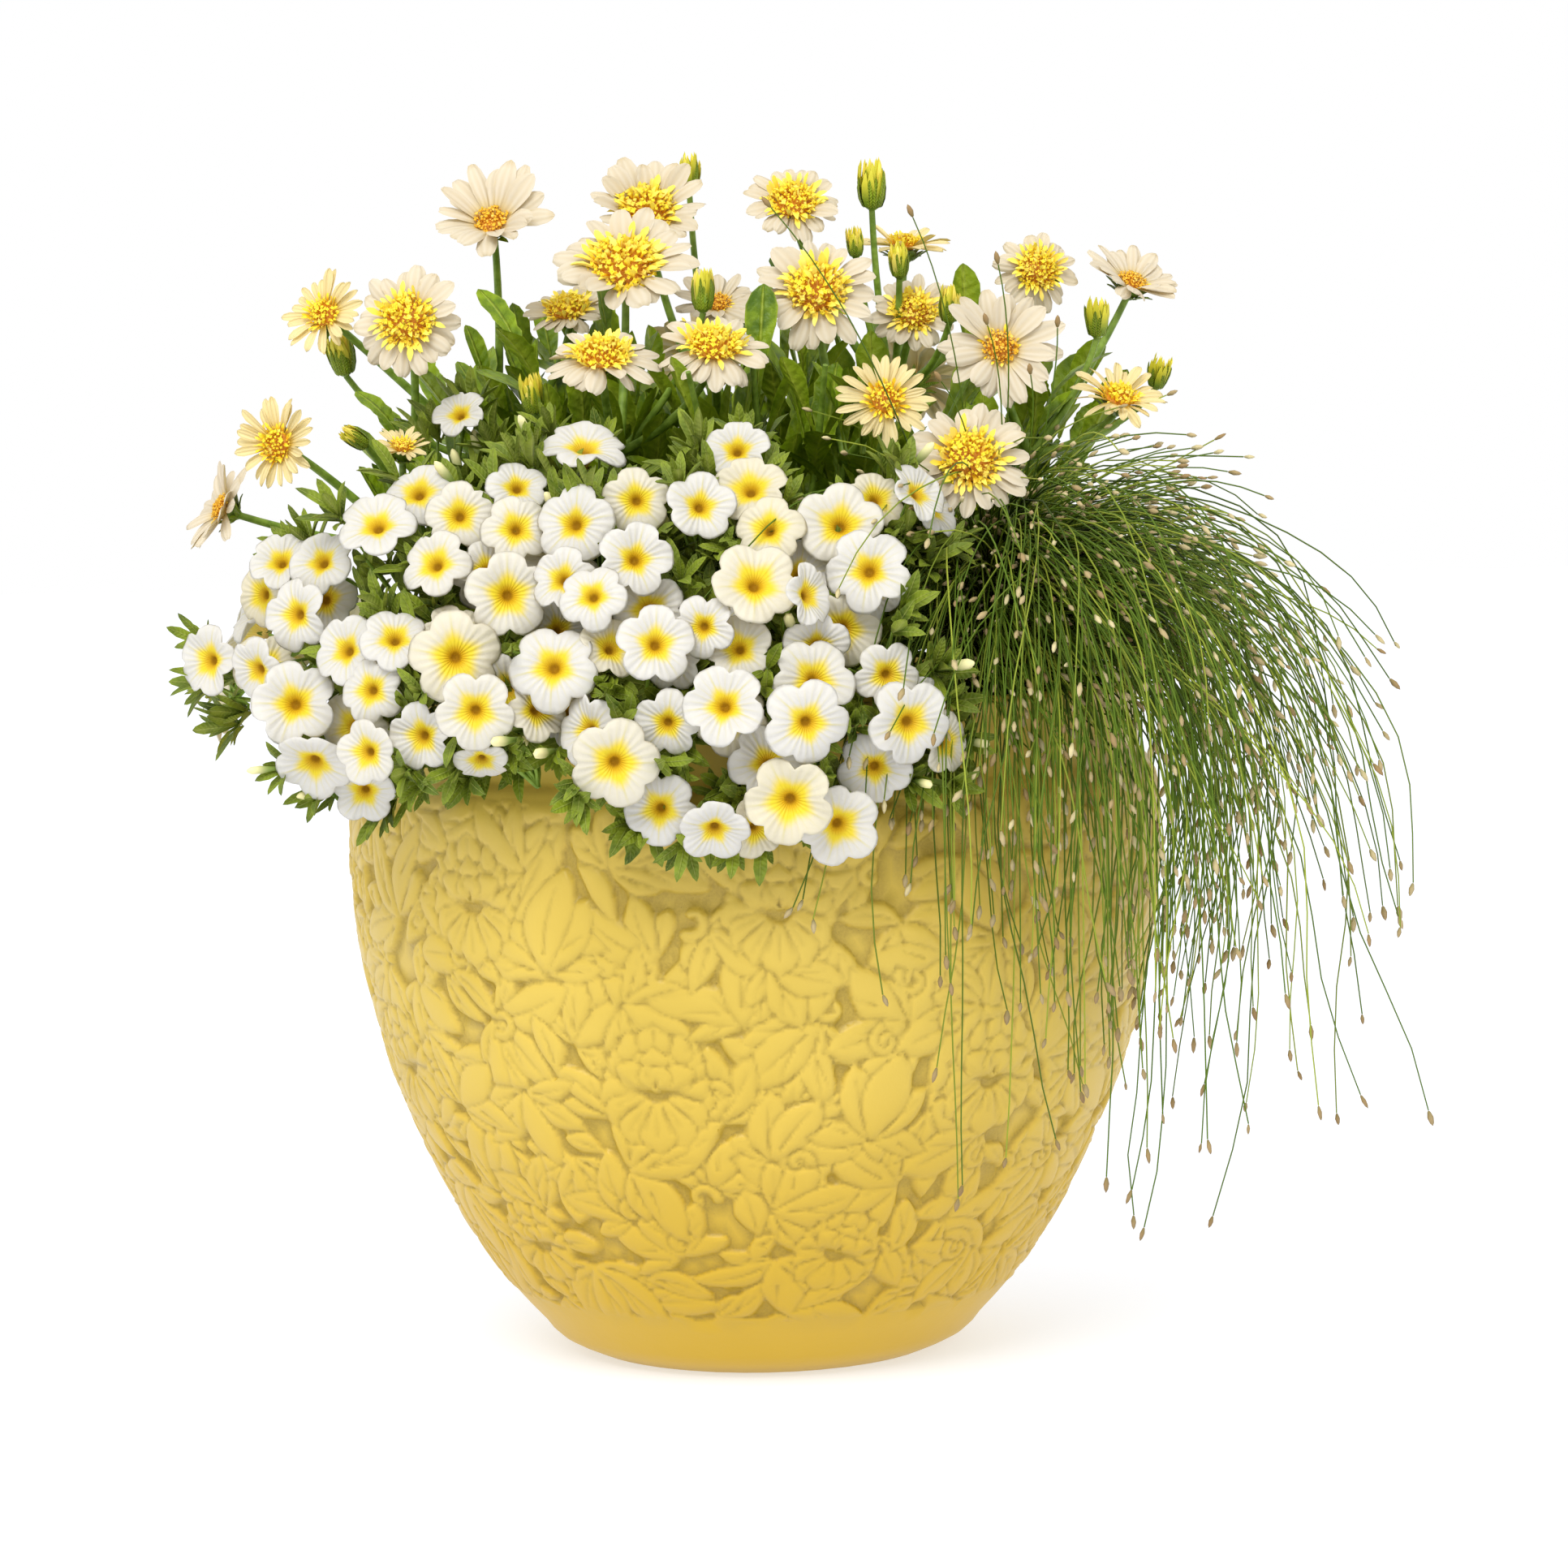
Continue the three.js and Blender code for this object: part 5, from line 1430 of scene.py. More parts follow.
def floret_layers(i, head):
    """The layers of florets of one head."""
    parts = []
    for k, (florets, number, inner, outer, dome, lean_in, lean_out, size, colour) in enumerate(KINDS[head.kind][3]):
        part = grown(
            floret_disc, Florets=florets, Kinds=3, Count=number, Inner=inner * head.disc * MM,
            Outer=outer * head.disc * MM, Dome=dome * head.disc * MM, Lean_inside=lean_in, Lean_outside=lean_out,
            Size=size * head.disc * MM, Wander=0.36, Seed=300 + 2 * i + k, Finish=colour,
        )
        part.transform(head.frame @ Matrix.Translation((0, 0, 0.8 * MM)))
        parts.append(part)
    return parts


def receptacle(head):
    """The low cushion that the florets stand on."""
    profile_rows = ((0.7, -0.8), (0.86, 0.3), (0.75, 1.0), (0.5, 1.6), (0.25, 1.9))
    rings = [circle(head.disc * share, z, 12) for share, z in profile_rows]
    cushion = plain_body("receptacle", [[(0.0, 0.0, -1.0)], *rings, [(0.0, 0.0, 2.0)]], amber_floret)
    cushion.transform(head.frame)
    return cushion


heads = [Head(*row) for row in HEADS]
for i, head in enumerate(heads):
    number = f"{i + 1:02d}"
    slot = "lemon_petals" if head.kind == "young" else "cream_petals"
    place_piece(show(f"ray_petals_{number}", ray_petals(i, head)), slot, f"daisy_rays_{number}")
    florets = joined(f"florets_{number}", [receptacle(head), *floret_layers(i, head)])
    place_piece(show(f"florets_{number}", florets), "golden_florets", f"daisy_disc_{number}")
print("Daisy heads:", len(heads))

# %% [markdown]
# ## The green of the daisies
#
# African daisies grow from a woody crown into leafy shoots. The leaves are spoon shaped with a few teeth,
# each four to six centimetres long, and stand close round the upper half of a shoot. The ten main shoots end
# where the CAD model has them. More shoots fill the mound, low ones round its edge and taller ones along its
# back, and each of these stays short enough to leave the heads free. Each flower has a long stalk of its own
# from a main shoot, and a cup of narrow bracts under its head. A bud is the same cup, still closed, with its
# bracts curved in round its yellow petals. Stalks and shoots are lines that one tree turns to tubes, and
# leaves are points that another tree dresses.

# %% Where the shoots end
SOIL_TOP = 234
CROWN = np.array([12.0, 22.0, SOIL_TOP - 24])
SHOOT_ENDS = [(-128, -16, 306), (-98, 46, 334), (-48, -22, 340), (-12, 64, 346), (36, -38, 336), (56, 34, 358),
              (106, -6, 336), (126, 52, 322), (-44, 108, 306), (50, 112, 306)]
draw = seeded_draws(61)
more_ends = []
# Over the whole mound, spread along the golden angle
for k in range(36):
    way = math.radians(137.5 * k + between(-20, 20))
    reach = 136 * math.sqrt((k + 1) / 36)
    x, y = reach * math.cos(way), 22 + 0.86 * reach * math.sin(way)
    more_ends.append((x, y, 386 - 0.0028 * (x * x + y * y) + between(-18, 6)))
# Low ones round the back and the sides
for k in range(18):
    way, reach = math.radians(-8 + 196 * (k + 0.5) / 18 + between(-6, 6)), between(88, 126)
    more_ends.append((reach * math.cos(way), 6 + reach * math.sin(way), between(272, 304)))
# Low ones at the front and left, listed one by one
more_ends += [(-126, -26, 302), (-104, -48, 308), (-82, -34, 322), (-60, -52, 314), (-30, -58, 304), (6, -60, 306),
              (44, -56, 300), (-92, 6, 330)]
# Taller ones along the back
for k in range(15):
    x = -136 + 16 * k + between(-6, 6)
    more_ends.append((x, between(44, 92), 376 - 0.0022 * x * x - between(0, 14)))
print("Shoots:", len(SHOOT_ENDS), "from the CAD model and", len(more_ends), "more")

# %% Shoots that keep clear of the heads
low = CROWN + [0, 0, 30]


def shoot_route(end):
    """The line of a shoot, from the crown out and up to its end."""
    top = np.array(end, float)
    bend = (low + top) / 2
    bend[2] = SOIL_TOP + 26 + (top[2] - SOIL_TOP) * 0.2
    return bezier([low, bend, top], 9)


def in_front_of(point, faces):
    """Whether a point comes between the viewer and a flower. A face is a place, a normal and a radius."""
    line = point - EYE
    for place, normal, radius in faces:
        share = (place - EYE) @ normal / (normal @ line)
        if 0.998 < share < 1.1 and np.linalg.norm(EYE + share * line - place) < radius:
            return True
    return False


head_faces = [(head.place, head.normal, head.reach * 0.85) for head in heads]


def clear_shoot(end):
    """A shoot that ends low enough to leave the heads free."""
    top = np.array([end[0], end[1], min(end[2], 376)])
    while top[2] > SOIL_TOP + 50 and any(in_front_of(point, head_faces) for point in shoot_route(top)[4:]):
        top[2] -= 8
    return shoot_route(top)


shoots = [shoot_route(end) for end in SHOOT_ENDS] + [clear_shoot(end) for end in more_ends]
green_lines = [(route, np.linspace(3.4, 1.0, 9), 0.3) for route in shoots]
green_lines.append(([CROWN, low, low + [0, 0, 10]], [9.0, 9.0, 6.5], 0.0))

# %% Leaves on the shoots
toothed = [(0.03, 0.025), (0.2, 0.03), (0.36, 0.05), (0.5, 0.098), (0.56, 0.085), (0.66, 0.13), (0.72, 0.118),
           (0.82, 0.132), (0.88, 0.105), (0.96, 0.055)]
smooth_edge = [(0.03, 0.025), (0.2, 0.03), (0.4, 0.06), (0.55, 0.096), (0.7, 0.124), (0.82, 0.126), (0.92, 0.09),
               (0.975, 0.04)]
daisy_leaves = family("daisy_leaf", [
    lens(f"daisy_leaf_{i}", edge, curl(lift, drop), across=2, fold=fold, droop=droop, thickness=0.014,
         twist=twist, ruffle=ruffle)
    for i, (edge, lift, drop, fold, droop, twist, ruffle) in enumerate([
        (toothed, 0.2, 0.28, 0.35, 0.0, 0.2, 0.01), (smooth_edge, 0.1, 0.25, 0.3, 0.0, -0.3, 0.006),
        (toothed, 0.3, 0.5, 0.25, 0.0, -0.2, 0.014), (smooth_edge, 0.0, 0.02, 0.45, 0.0, 0.3, 0.008),
        (toothed, 0.1, -0.1, 0.4, 0.0, 0.4, 0.01),
    ])
])
LAST_LEAF = 14
MOUND_TOP, MOUND_REACH = 418, 178
leaf_rows = []
for route in shoots:
    tangent = unit(route[-1] - route[-3])
    for k in range(LAST_LEAF + 1):
        share = 1 - 0.6 * (k / LAST_LEAF) ** 0.8
        at = share * (len(route) - 1)
        step = min(int(at), len(route) - 2)
        root = route[step] + (route[step + 1] - route[step]) * (at - step)
        way = 2.4 * k + between(-0.3, 0.3)
        side = unit(np.cross(tangent, [0.3, 0.2, 1.0]))
        other = np.cross(tangent, side)
        out = side * math.cos(way) + other * math.sin(way)
        open_up = 0.35 + 0.8 * (k / LAST_LEAF)
        ahead = out * open_up + tangent * 0.5 + np.array([0, 0, 0.8 * (1 - 0.5 * k / LAST_LEAF)])
        longest = (MOUND_TOP - root[2]) / max(0.3, unit(ahead)[2])
        length = min(between(44, 62) * (0.76 + 0.24 * k / LAST_LEAF), longest)
        tip = root + unit(ahead) * length
        if tip[2] < SOIL_TOP + 8 or np.hypot(tip[0], tip[1]) > MOUND_REACH:
            continue
        if any(in_front_of(root + unit(ahead) * length * part, head_faces) for part in (0.4, 0.7, 1)):
            continue
        up = np.array([0, 0, 1.0]) - 0.4 * out
        leaf_rows.append((root, (ahead, up), length, int(draw() * 5), draw()))
print("Daisy leaves:", len(leaf_rows))

# %% Stalks
# Each bud: the column and row of its middle in the picture, its depth, its length, its turn and its lift
BUDS = [
    (849, 214, 84, 14, 0, 84), (866, 360, -34, 15, 0, 86), (420, 436, 32, 18, -30, 70),
    (655, 486, -72, 15, -20, 66), (437, 540, -48, 12, -50, 30), (1075, 230, 22, 18, 10, 80),
    (1054, 300, 24, 11, -10, 84), (1108, 322, 4, 13, 0, 86), (1170, 376, -10, 14, 10, 80),
    (1352, 392, -8, 15, 10, 82), (1428, 460, 4, 13, 30, 66),
]
stalk_roots = [
    route[round(share * (len(route) - 1))] for route in shoots[: len(SHOOT_ENDS)] for share in (0.97, 0.8, 0.62, 0.46)
]


def stalk(neck, normal):
    """The line of a stalk that leaves the nearest shoot and comes up under a flower."""
    near = [root for root in stalk_roots if root[2] < neck[2] - 14]
    root = min(near, key=lambda r: np.linalg.norm(r - neck))
    under = neck - normal * 0.42 * np.linalg.norm(neck - root)
    bend = (root * 0.6 + neck * 0.4) * 0.4 + under * 0.6
    return bezier([root, bend, neck], 10)


# %% Cups under the heads
def bract_ring(base, lift, **settings):
    """A ring of narrow bracts on a flower's own frame, lifted by some millimetres."""
    mesh = grown(ray_ring, Kinds=3, **settings)
    mesh.transform(base @ Matrix.Translation((0, 0, lift * MM)))
    return mesh


bract_meshes = []
for head in heads:
    cup = min(4.6, head.disc * 0.8)
    neck = head.place - head.normal * 6.5
    green_lines.append((stalk(neck, head.normal), np.linspace(1.9, 1.35, 10), 0.6))
    under = [head.place - head.normal * depth for depth in (6.8, 5.2, 3.2, 1.2)]
    green_lines.append((under, [1.35, cup * 0.7, cup, cup * 0.86], 0.4))
    bract_meshes.append(bract_ring(
        head.frame, -5.4, Petals=bracts, Count=14, Hub=cup * 0.72 * MM, Length=8.0 * MM, Width=8.0 * MM,
        Rise=0.75, Wander=0.1, Seed=700 + len(bract_meshes), Finish=daisy_leaf,
    ))

# %% Buds
# The rings of a bud from the outside in: how many bracts, then hub and length as shares of the bud's length,
# then how steeply they rise, and their material
BUD_RINGS = [
    (14, 0.19, 0.78, 1.53, daisy_leaf), (12, 0.17, 0.92, 1.55, bud_petal),
    (11, 0.1, 1.0, 1.5, bud_petal), (7, 0.04, 0.98, 1.5, lemon_floret),
]
for k, (col, row, depth, length, turn, lift) in enumerate(BUDS):
    normal, middle = facing(turn, lift), seen_at(col, row, depth)
    neck = middle - normal * length / 2
    green_lines.append((stalk(neck, normal), np.linspace(1.6, 1.2, 10), 0.6))
    wide = length * 0.33
    body = [neck + normal * length * share for share in (0, 0.1, 0.3, 0.55, 0.7)]
    green_lines.append((body, [1.2, wide * 0.6, wide * 0.78, wide * 0.72, wide * 0.4], 0.5))
    for count, hub, size, rise, finish in BUD_RINGS:
        bract_meshes.append(bract_ring(
            flower_frame(neck, normal), 0.06 * length, Petals=bud_bracts, Count=count, Hub=hub * length * MM,
            Length=size * length * MM, Width=size * length * MM, Rise=rise, Wander=0.08, Seed=800 + k,
            Finish=finish,
        ))
print("Cups:", len(heads), "and buds:", len(BUDS))

# %% The greenery as one piece
leaf_mesh = grown(set_out, points_mesh(leaf_rows), Shapes=daisy_leaves, Finish=daisy_leaf)
stalk_mesh = grown(tubes_on, lines_mesh(green_lines), Sides=7, Finish=green_stalk)
greenery = joined("daisy_greenery", [leaf_mesh, stalk_mesh, *bract_meshes])
place_piece(show("daisy_greenery", greenery), "leaf", "daisy_foliage")
print("Triangles in the greenery:", triangle_counts["daisy_greenery"])

# %% [markdown]
# ## White calibrachoa
#
# A calibrachoa bloom is one funnel: five lobes grown together, with a yellow throat and a brown eye where
# the tube starts. The picture fixes where each listed bloom shows. The rule that lays them on the mound is
# the CAD model's: each takes the first point of the mound on its line of sight, faces out and to the viewer,
# and moves out until it is clear of those that lie under it. Five more hang at the left and back, where the
# picture doesn't reach, and smaller blooms fill gaps between the others, as some on a spray are always just
# opening.

# %% Where the blooms are
# Each bloom: the column and row of its middle in the picture, its width there and, where the rule doesn't give it,
# the turn and lift of its face
BLOOMS = [
    (345, 690, 76), (692, 712, 80), (946, 650, 86), (1079, 613, 76, 10, 30), (314, 827, 80, -40, -10),
    (1004, 836, 100), (1094, 832, 80), (722, 901, 90, -35, 0), (593, 940, 66, -5, -40), (812, 998, 90, -10, -5),
    (881, 1022, 84, 0, -30), (1035, 1018, 98), (970, 983, 106), (946, 940, 94), (866, 772, 76), (636, 650, 84),
    (565, 508, 66, -20, 40), (720, 545, 106, 12, 62), (908, 552, 78, -4, 34), (637, 598, 74, 4, 34), (514, 604, 88),
    (565, 634, 84), (474, 658, 94, -10, 42), (535, 693, 86), (784, 615, 82), (864, 622, 84), (924, 592, 90),
    (706, 644, 96), (783, 688, 90), (623, 728, 102), (734, 742, 82), (394, 690, 84), (362, 757, 88),
    (305, 722, 76, -44, 4), (486, 784, 84, 0, 36), (424, 800, 86), (566, 812, 110), (684, 822, 106), (810, 796, 94),
    (362, 866, 102), (255, 814, 84, -36, 4), (455, 850, 80), (518, 908, 82), (598, 878, 94), (463, 926, 78),
    (385, 944, 94, -14, -34), (822, 892, 80), (893, 870, 98), (910, 792, 80), (766, 938, 106), (931, 722, 104),
    (996, 742, 76, 50, 10), (1035, 645, 102), (1067, 707, 102), (1124, 628, 76, 44, 30), (990, 891, 102),
    (1119, 891, 102),
]
# The bearing in degrees and the height of the blooms that the picture doesn't show
HIDDEN_BLOOMS = [(196, 288), (184, 226), (172, 276), (162, 232), (150, 270)]
# The height of the mound's middle, and how far it reaches from there
MOUND = {"middle": 245, "left": 226, "right": 186, "front": 186, "back": 160, "up": 130, "down": 85}


# %% The mound
def mound_rise(z):
    """What a height adds to the mound's level, gently above its middle and steeply under it."""
    above = z - MOUND["middle"]
    return (above / MOUND["up"]) ** 2 if above > 0 else (above / MOUND["down"]) ** 4


def mound_level(p):
    """How far out a point is in the mound, where 1 is its surface."""
    across = p[0] / (MOUND["left"] if p[0] < 0 else MOUND["right"])
    ahead = p[1] / (MOUND["front"] if p[1] < 0 else MOUND["back"])
    return across**2 + ahead**2 + mound_rise(p[2])


def mound_normal(p):
    """The way out of the mound at a point."""
    width = MOUND["left"] if p[0] < 0 else MOUND["right"]
    depth = MOUND["front"] if p[1] < 0 else MOUND["back"]
    above = p[2] - MOUND["middle"]
    upward = 2 * above / MOUND["up"] ** 2 if above > 0 else 4 * above**3 / MOUND["down"] ** 4
    return unit([2 * p[0] / width**2, 2 * p[1] / depth**2, upward])


def polar(radius, bearing, z):
    """The point at a distance from the pot's axis, a bearing in radians and a height."""
    return np.array([radius * math.cos(bearing), radius * math.sin(bearing), z])


def on_bearing(bearing, height):
    """The point of the mound at a bearing in radians and a height."""
    level = mound_level(polar(1, bearing, MOUND["middle"]))
    return polar(math.sqrt(max(0.05, 1 - mound_rise(height)) / level), bearing, height)


def on_mound(col, row):
    """The first point of the mound on a line of sight, or the nearest one to it where the line passes above."""
    best = seen_at(col, row, -200)
    for depth in range(-198, 41, 2):
        if mound_level(best) <= 1:
            break
        place = seen_at(col, row, depth)
        if mound_level(place) < mound_level(best):
            best = place
    return best


# %% Whether two blooms meet
def plates_meet(a, b):
    """Whether two round plates cut through each other, or nearly so. Each is a place, a normal and a radius."""
    line = np.cross(a[1], b[1])
    slant = max(np.linalg.norm(line), 0.15)
    line = line / max(np.linalg.norm(line), 1e-9)
    for shift in (-1, 0, 1):
        apart = b[0] + a[1] * shift - a[0]
        from_a, from_b = abs(apart @ b[1]) / slant, abs(apart @ a[1]) / slant
        if from_a > a[2] or from_b > b[2] or np.linalg.norm(apart) > a[2] + b[2]:
            continue
        if abs(apart @ line) < math.sqrt(a[2] ** 2 - from_a**2) + math.sqrt(b[2] ** 2 - from_b**2):
            return True
    return False


# A bloom as four round plates: how deep each lies and how wide it is, as shares of the bloom's radius
BLOOM_PLATES = [(0, 1.02), (0.16, 0.8), (0.32, 0.58), (0.48, 0.36)]


def blooms_meet(a, b):
    """Whether two blooms cut through each other."""
    if np.linalg.norm(a["place"] - b["place"]) > a["radius"] + b["radius"] + 4:
        return False
    plates = [
        [(f["place"] - f["normal"] * depth * f["radius"], f["normal"], wide * f["radius"])
         for depth, wide in BLOOM_PLATES]
        for f in (a, b)
    ]
    return any(plates_meet(one, other) for one in plates[0] for other in plates[1])


# %% Blooms laid on the mound
draw = seeded_draws(5)
blooms = []
for col, row, width, *way in BLOOMS:
    place = on_mound(col, row)
    out = mound_normal(place)
    wander = np.array([between(-0.5, 0.5), 0, between(-0.4, 0.45)])
    normal = facing(*way) if way else unit(out + unit(EYE - place) * 0.9 + wander)
    blooms.append({"place": place, "out": out, "normal": normal, "radius": real_size(width, place[1]) / 2})
for bearing, height in HIDDEN_BLOOMS:
    place = on_bearing(math.radians(bearing), height + (24 if height < 240 else 0)) * [0.9, 0.92, 1.0]
    out = mound_normal(place)
    blooms.append({"place": place, "out": out, "normal": out, "radius": 15.5})
for i, bloom in enumerate(blooms):
    start = bloom["place"]
    for move in (0, 3, -3, 6, -6, 9, 12, 15, 18, 21, 24, 27):
        bloom["place"] = start + bloom["out"] * move
        if not any(blooms_meet(bloom, other) for other in blooms[:i]):
            break
listed = len(blooms)
print("Blooms from the picture, and hidden ones:", len(BLOOMS), "and", len(HIDDEN_BLOOMS))

# %% Smaller blooms in the gaps
FILLERS, TRIES = 26, 4000
draw = seeded_draws(19)
for _ in range(TRIES):
    if len(blooms) == listed + FILLERS:
        break
    near = blooms[int(draw() * len(BLOOMS))]
    side = unit(np.cross(near["normal"], [between(-1, 1), between(-1, 1), between(-1, 1)]))
    radius = between(10.5, 14)
    place = near["place"] + side * near["radius"] * between(1.0, 1.5) - near["out"] * between(5, 10)
    apart = [np.linalg.norm(place - b["place"]) / b["radius"] for b in blooms]
    in_the_pot = math.hypot(place[0], place[1]) < 172 - 0.3 * (place[2] - 226)
    if min(apart) < 0.86 or sum(a < 2.1 for a in apart) < 2 or in_the_pot:
        continue
    out = mound_normal(place)
    normal = unit(out + side * 0.7 + unit(EYE - place) * 0.5 + [between(-0.4, 0.4), 0, between(-0.3, 0.3)])
    filler = {"place": place, "out": out, "normal": normal, "radius": radius}
    if not any(blooms_meet(filler, other) for other in blooms):
        blooms.append(filler)
print("Calibrachoa blooms:", len(blooms), "of which small ones in the gaps:", len(blooms) - listed)

# %% The shape of a bloom
LOBES, AROUND = 5, 40


def bloom_shape(name, wave, cup, notch, saddle):
    """A funnel one unit in radius that faces +Z, a closed shell with a throat."""
    above = [(0.0, -0.36), (0.08, -0.33), (0.14, -0.25), (0.22, -0.17), (0.36, -0.1), (0.56, -0.03), (0.78, 0.015),
             (0.93, 0.0), (1.0, -0.03)]
    below = [(0.95, -0.06), (0.62, -0.1), (0.36, -0.2), (0.24, -0.34), (0.15, -0.5), (0.1, -0.62), (0.0, -0.64)]
    points, values, rings = [], [], []
    for side, stations in ((0, above), (1, below)):
        for radius, z in stations:
            if radius == 0:
                rings.append([len(points)])
                points.append((0.0, 0.0, z))
                values.append((0.0, 0.0, side))
                continue
            ring_points = []
            for k in range(AROUND):
                angle = 2 * math.pi * k / AROUND
                lobe = abs((angle * LOBES / (2 * math.pi)) % 1 * 2 - 1)
                depth = notch * lobe**2.6 + 0.018 * math.exp(-((lobe / 0.25) ** 2))
                wide = radius * (1 - depth * radius**3)
                height = z + cup * radius**2 + wave * radius**2 * math.cos(LOBES * angle)
                height += saddle * radius**2 * math.cos(2 * angle + wave * 40)
                ring_points.append(len(points))
                points.append((wide * math.cos(angle), wide * math.sin(angle), height))
                values.append((radius, lobe, side))
            rings.append(ring_points)
    faces = []
    for a, b in zip(rings, rings[1:]):
        for k in range(AROUND):
            n = (k + 1) % AROUND
            if len(a) == 1:
                faces.append((a[0], b[k], b[n]))
            elif len(b) == 1:
                faces.append((a[k], b[0], a[n]))
            else:
                faces.append((a[k], b[k], b[n], a[n]))
    along, across, under = zip(*values)
    return mesh_of(name, np.array(points) / MM, faces, along=along, across=across, under=under)


# %% The shapes of buds and leaflets
def spindle(name, stations, sides):
    """A closed body of round sections on +X, such as a bud. Stations are pairs of share and radius."""
    angles = np.linspace(0, 2 * math.pi, sides, endpoint=False)
    rings = [[(share, radius * math.cos(a), radius * math.sin(a)) for a in angles] for share, radius in stations]
    return unit_body(name, [[(0.0, 0.0, 0.0)], *rings, [(1.0, 0.0, 0.0)]])


bloom_shapes = family("calibrachoa_bloom", [
    bloom_shape(f"bloom_{i}", wave, cup, notch, saddle)
    for i, (wave, cup, notch, saddle) in enumerate([
        (0.06, -0.05, 0.24, 0.05), (0.03, -0.14, 0.21, -0.09), (0.09, 0.02, 0.26, 0.04), (0.05, -0.22, 0.23, 0.12),
        (-0.05, 0.0, 0.2, -0.07), (0.08, -0.1, 0.27, 0.13),
    ])
])
bud_shapes = family("calibrachoa_bud", [
    spindle("bud_0", [(0.04, 0.06), (0.3, 0.07), (0.6, 0.12), (0.85, 0.11), (0.96, 0.05)], 6)
])
leaflet = [(0.1, 0.05), (0.4, 0.115), (0.68, 0.13), (0.9, 0.07)]
leaflets = family("calibrachoa_leaf", [
    lens(f"leaflet_{i}", leaflet, curl(lift, drop), across=2, fold=fold, thickness=0.05, twist=twist)
    for i, (lift, drop, fold, twist) in enumerate([
        (0.1, 0.3, 0.4, 0.1), (0.0, 0.12, 0.3, -0.2), (0.2, 0.15, 0.5, 0.1), (-0.05, -0.2, 0.35, 0.2),
    ])
])


# %% Calibrachoa tissue
def bloom_tint(tree):
    """White or cream with fine yellow veins, a yellow star in the throat and a brown eye."""
    along, lobe, shade = (attribute(tree, key) for key in ("along", "across", "shade"))
    body = blend(tree, map_range(tree, shade, 0.6, 1.0, 0.0, 0.7), "#E2DFD8", "#E8DEBC")
    vein = math_node(tree, "COSINE", math_node(tree, "MULTIPLY", lobe, 5 * math.pi))
    faint, strong = map_range(tree, along, 0.3, 0.95, 0.4, 0.04), map_range(tree, along, 0.5, 0.98, 0.7, 0.15)
    fine = math_node(tree, "MULTIPLY", map_range(tree, vein, 0.45, 1.0), faint)
    main = math_node(tree, "MULTIPLY", map_range(tree, lobe, 0.02, 0.09, 1.0, 0.0), strong)
    veined = blend(tree, math_node(tree, "MAXIMUM", fine, main), body, "#D9D08E")
    star = math_node(tree, "MULTIPLY_ADD", lobe, -0.16, math_node(tree, "MULTIPLY_ADD", shade, 0.12, 0.5))
    glow = map_range(tree, math_node(tree, "DIVIDE", along, star), 0.6, 1.15, 1.0, 0.0)
    throat = blend(tree, glow, veined, "#F8E031")
    warm = blend(tree, map_range(tree, along, 0.14, 0.32, 0.8, 0.0), throat, "#EDB716")
    eye = blend(tree, map_range(tree, along, 0.08, 0.16, 1.0, 0.0), warm, "#C9920F")
    return blend(tree, math_node(tree, "MULTIPLY", attribute(tree, "under"), 0.35), eye, "#EFE3A0")


def bloom_veins(tree):
    """Low veins that run out along the lobes."""
    wave = math_node(tree, "COSINE", math_node(tree, "MULTIPLY", attribute(tree, "across"), 5 * math.pi))
    return math_node(tree, "MULTIPLY_ADD", wave, 0.35, noise(tree, 3, 3))


def bud_tint(tree):
    """Green at the foot and cream at the tip."""
    return blend(tree, map_range(tree, attribute(tree, "along"), 0.35, 0.9), "#7F9440", "#EFE6A8")


# A thin film that lets a quarter of the light through, and the same film while it is still rolled up
bloom_film = finish_material("calibrachoa_petal_film", bloom_tint, 0.5, (bloom_veins, 0.3), through=0.25, IOR=1.4)
bud_film = finish_material("calibrachoa_bud_film", bud_tint, 0.5)

# %% What keeps the blooms free
bloom_places = np.array([b["place"] for b in blooms] + [place for place, _, _ in head_faces])
bloom_normals = np.array([b["normal"] for b in blooms] + [normal for _, normal, _ in head_faces])
bloom_radii = np.array([b["radius"] for b in blooms] + [radius * 0.9 for _, _, radius in head_faces])


def hides_bloom(point):
    """Whether a point comes between the viewer and a bloom's face. Blooms open towards the light, over leaves."""
    line = point - EYE
    share = ((bloom_places - EYE) * bloom_normals).sum(axis=1) / (bloom_normals @ line)
    from_middle = np.linalg.norm(EYE + share[:, None] * line - bloom_places, axis=1)
    return bool(((share > 0.998) & (share < 1.1) & (from_middle < bloom_radii * 1.02)).any())


def has_room(heart, bloom):
    """Whether a tuft of leaves may stand beside a bloom: outside the pot, above the mound's hem, off the blooms."""
    hem = bloom["place"][2]
    inside_pot = math.hypot(heart[0], heart[1]) < 158 and heart[2] < 262
    below_left_hem = heart[0] < -170 and heart[2] < hem - 9
    below_hem = heart[2] < 224 and heart[2] < max(172, hem - 7)
    if inside_pot or below_left_hem or below_hem:
        return False
    for other in blooms:
        apart = heart - other["place"]
        if np.linalg.norm(apart) < 0.62 * other["radius"] and apart @ other["normal"] > -5:
            return False
    return True


# %% Stems, stalks and tufts of leaves
def spray_stem(bearing):
    """The main stem of a spray: up from the soil, over the rim and down outside the pot."""
    hang = on_bearing(bearing, 226)
    out_reach = math.hypot(hang[0], hang[1])
    return through_points([
        polar(98, bearing, SOIL_TOP - 16), polar(98, bearing, SOIL_TOP + 6), polar(116, bearing, 272),
        polar(152, bearing, 276), polar(max(164, out_reach * 0.88), bearing, 252),
        polar(max(166, out_reach * 0.9), bearing, 214),
    ], 3)


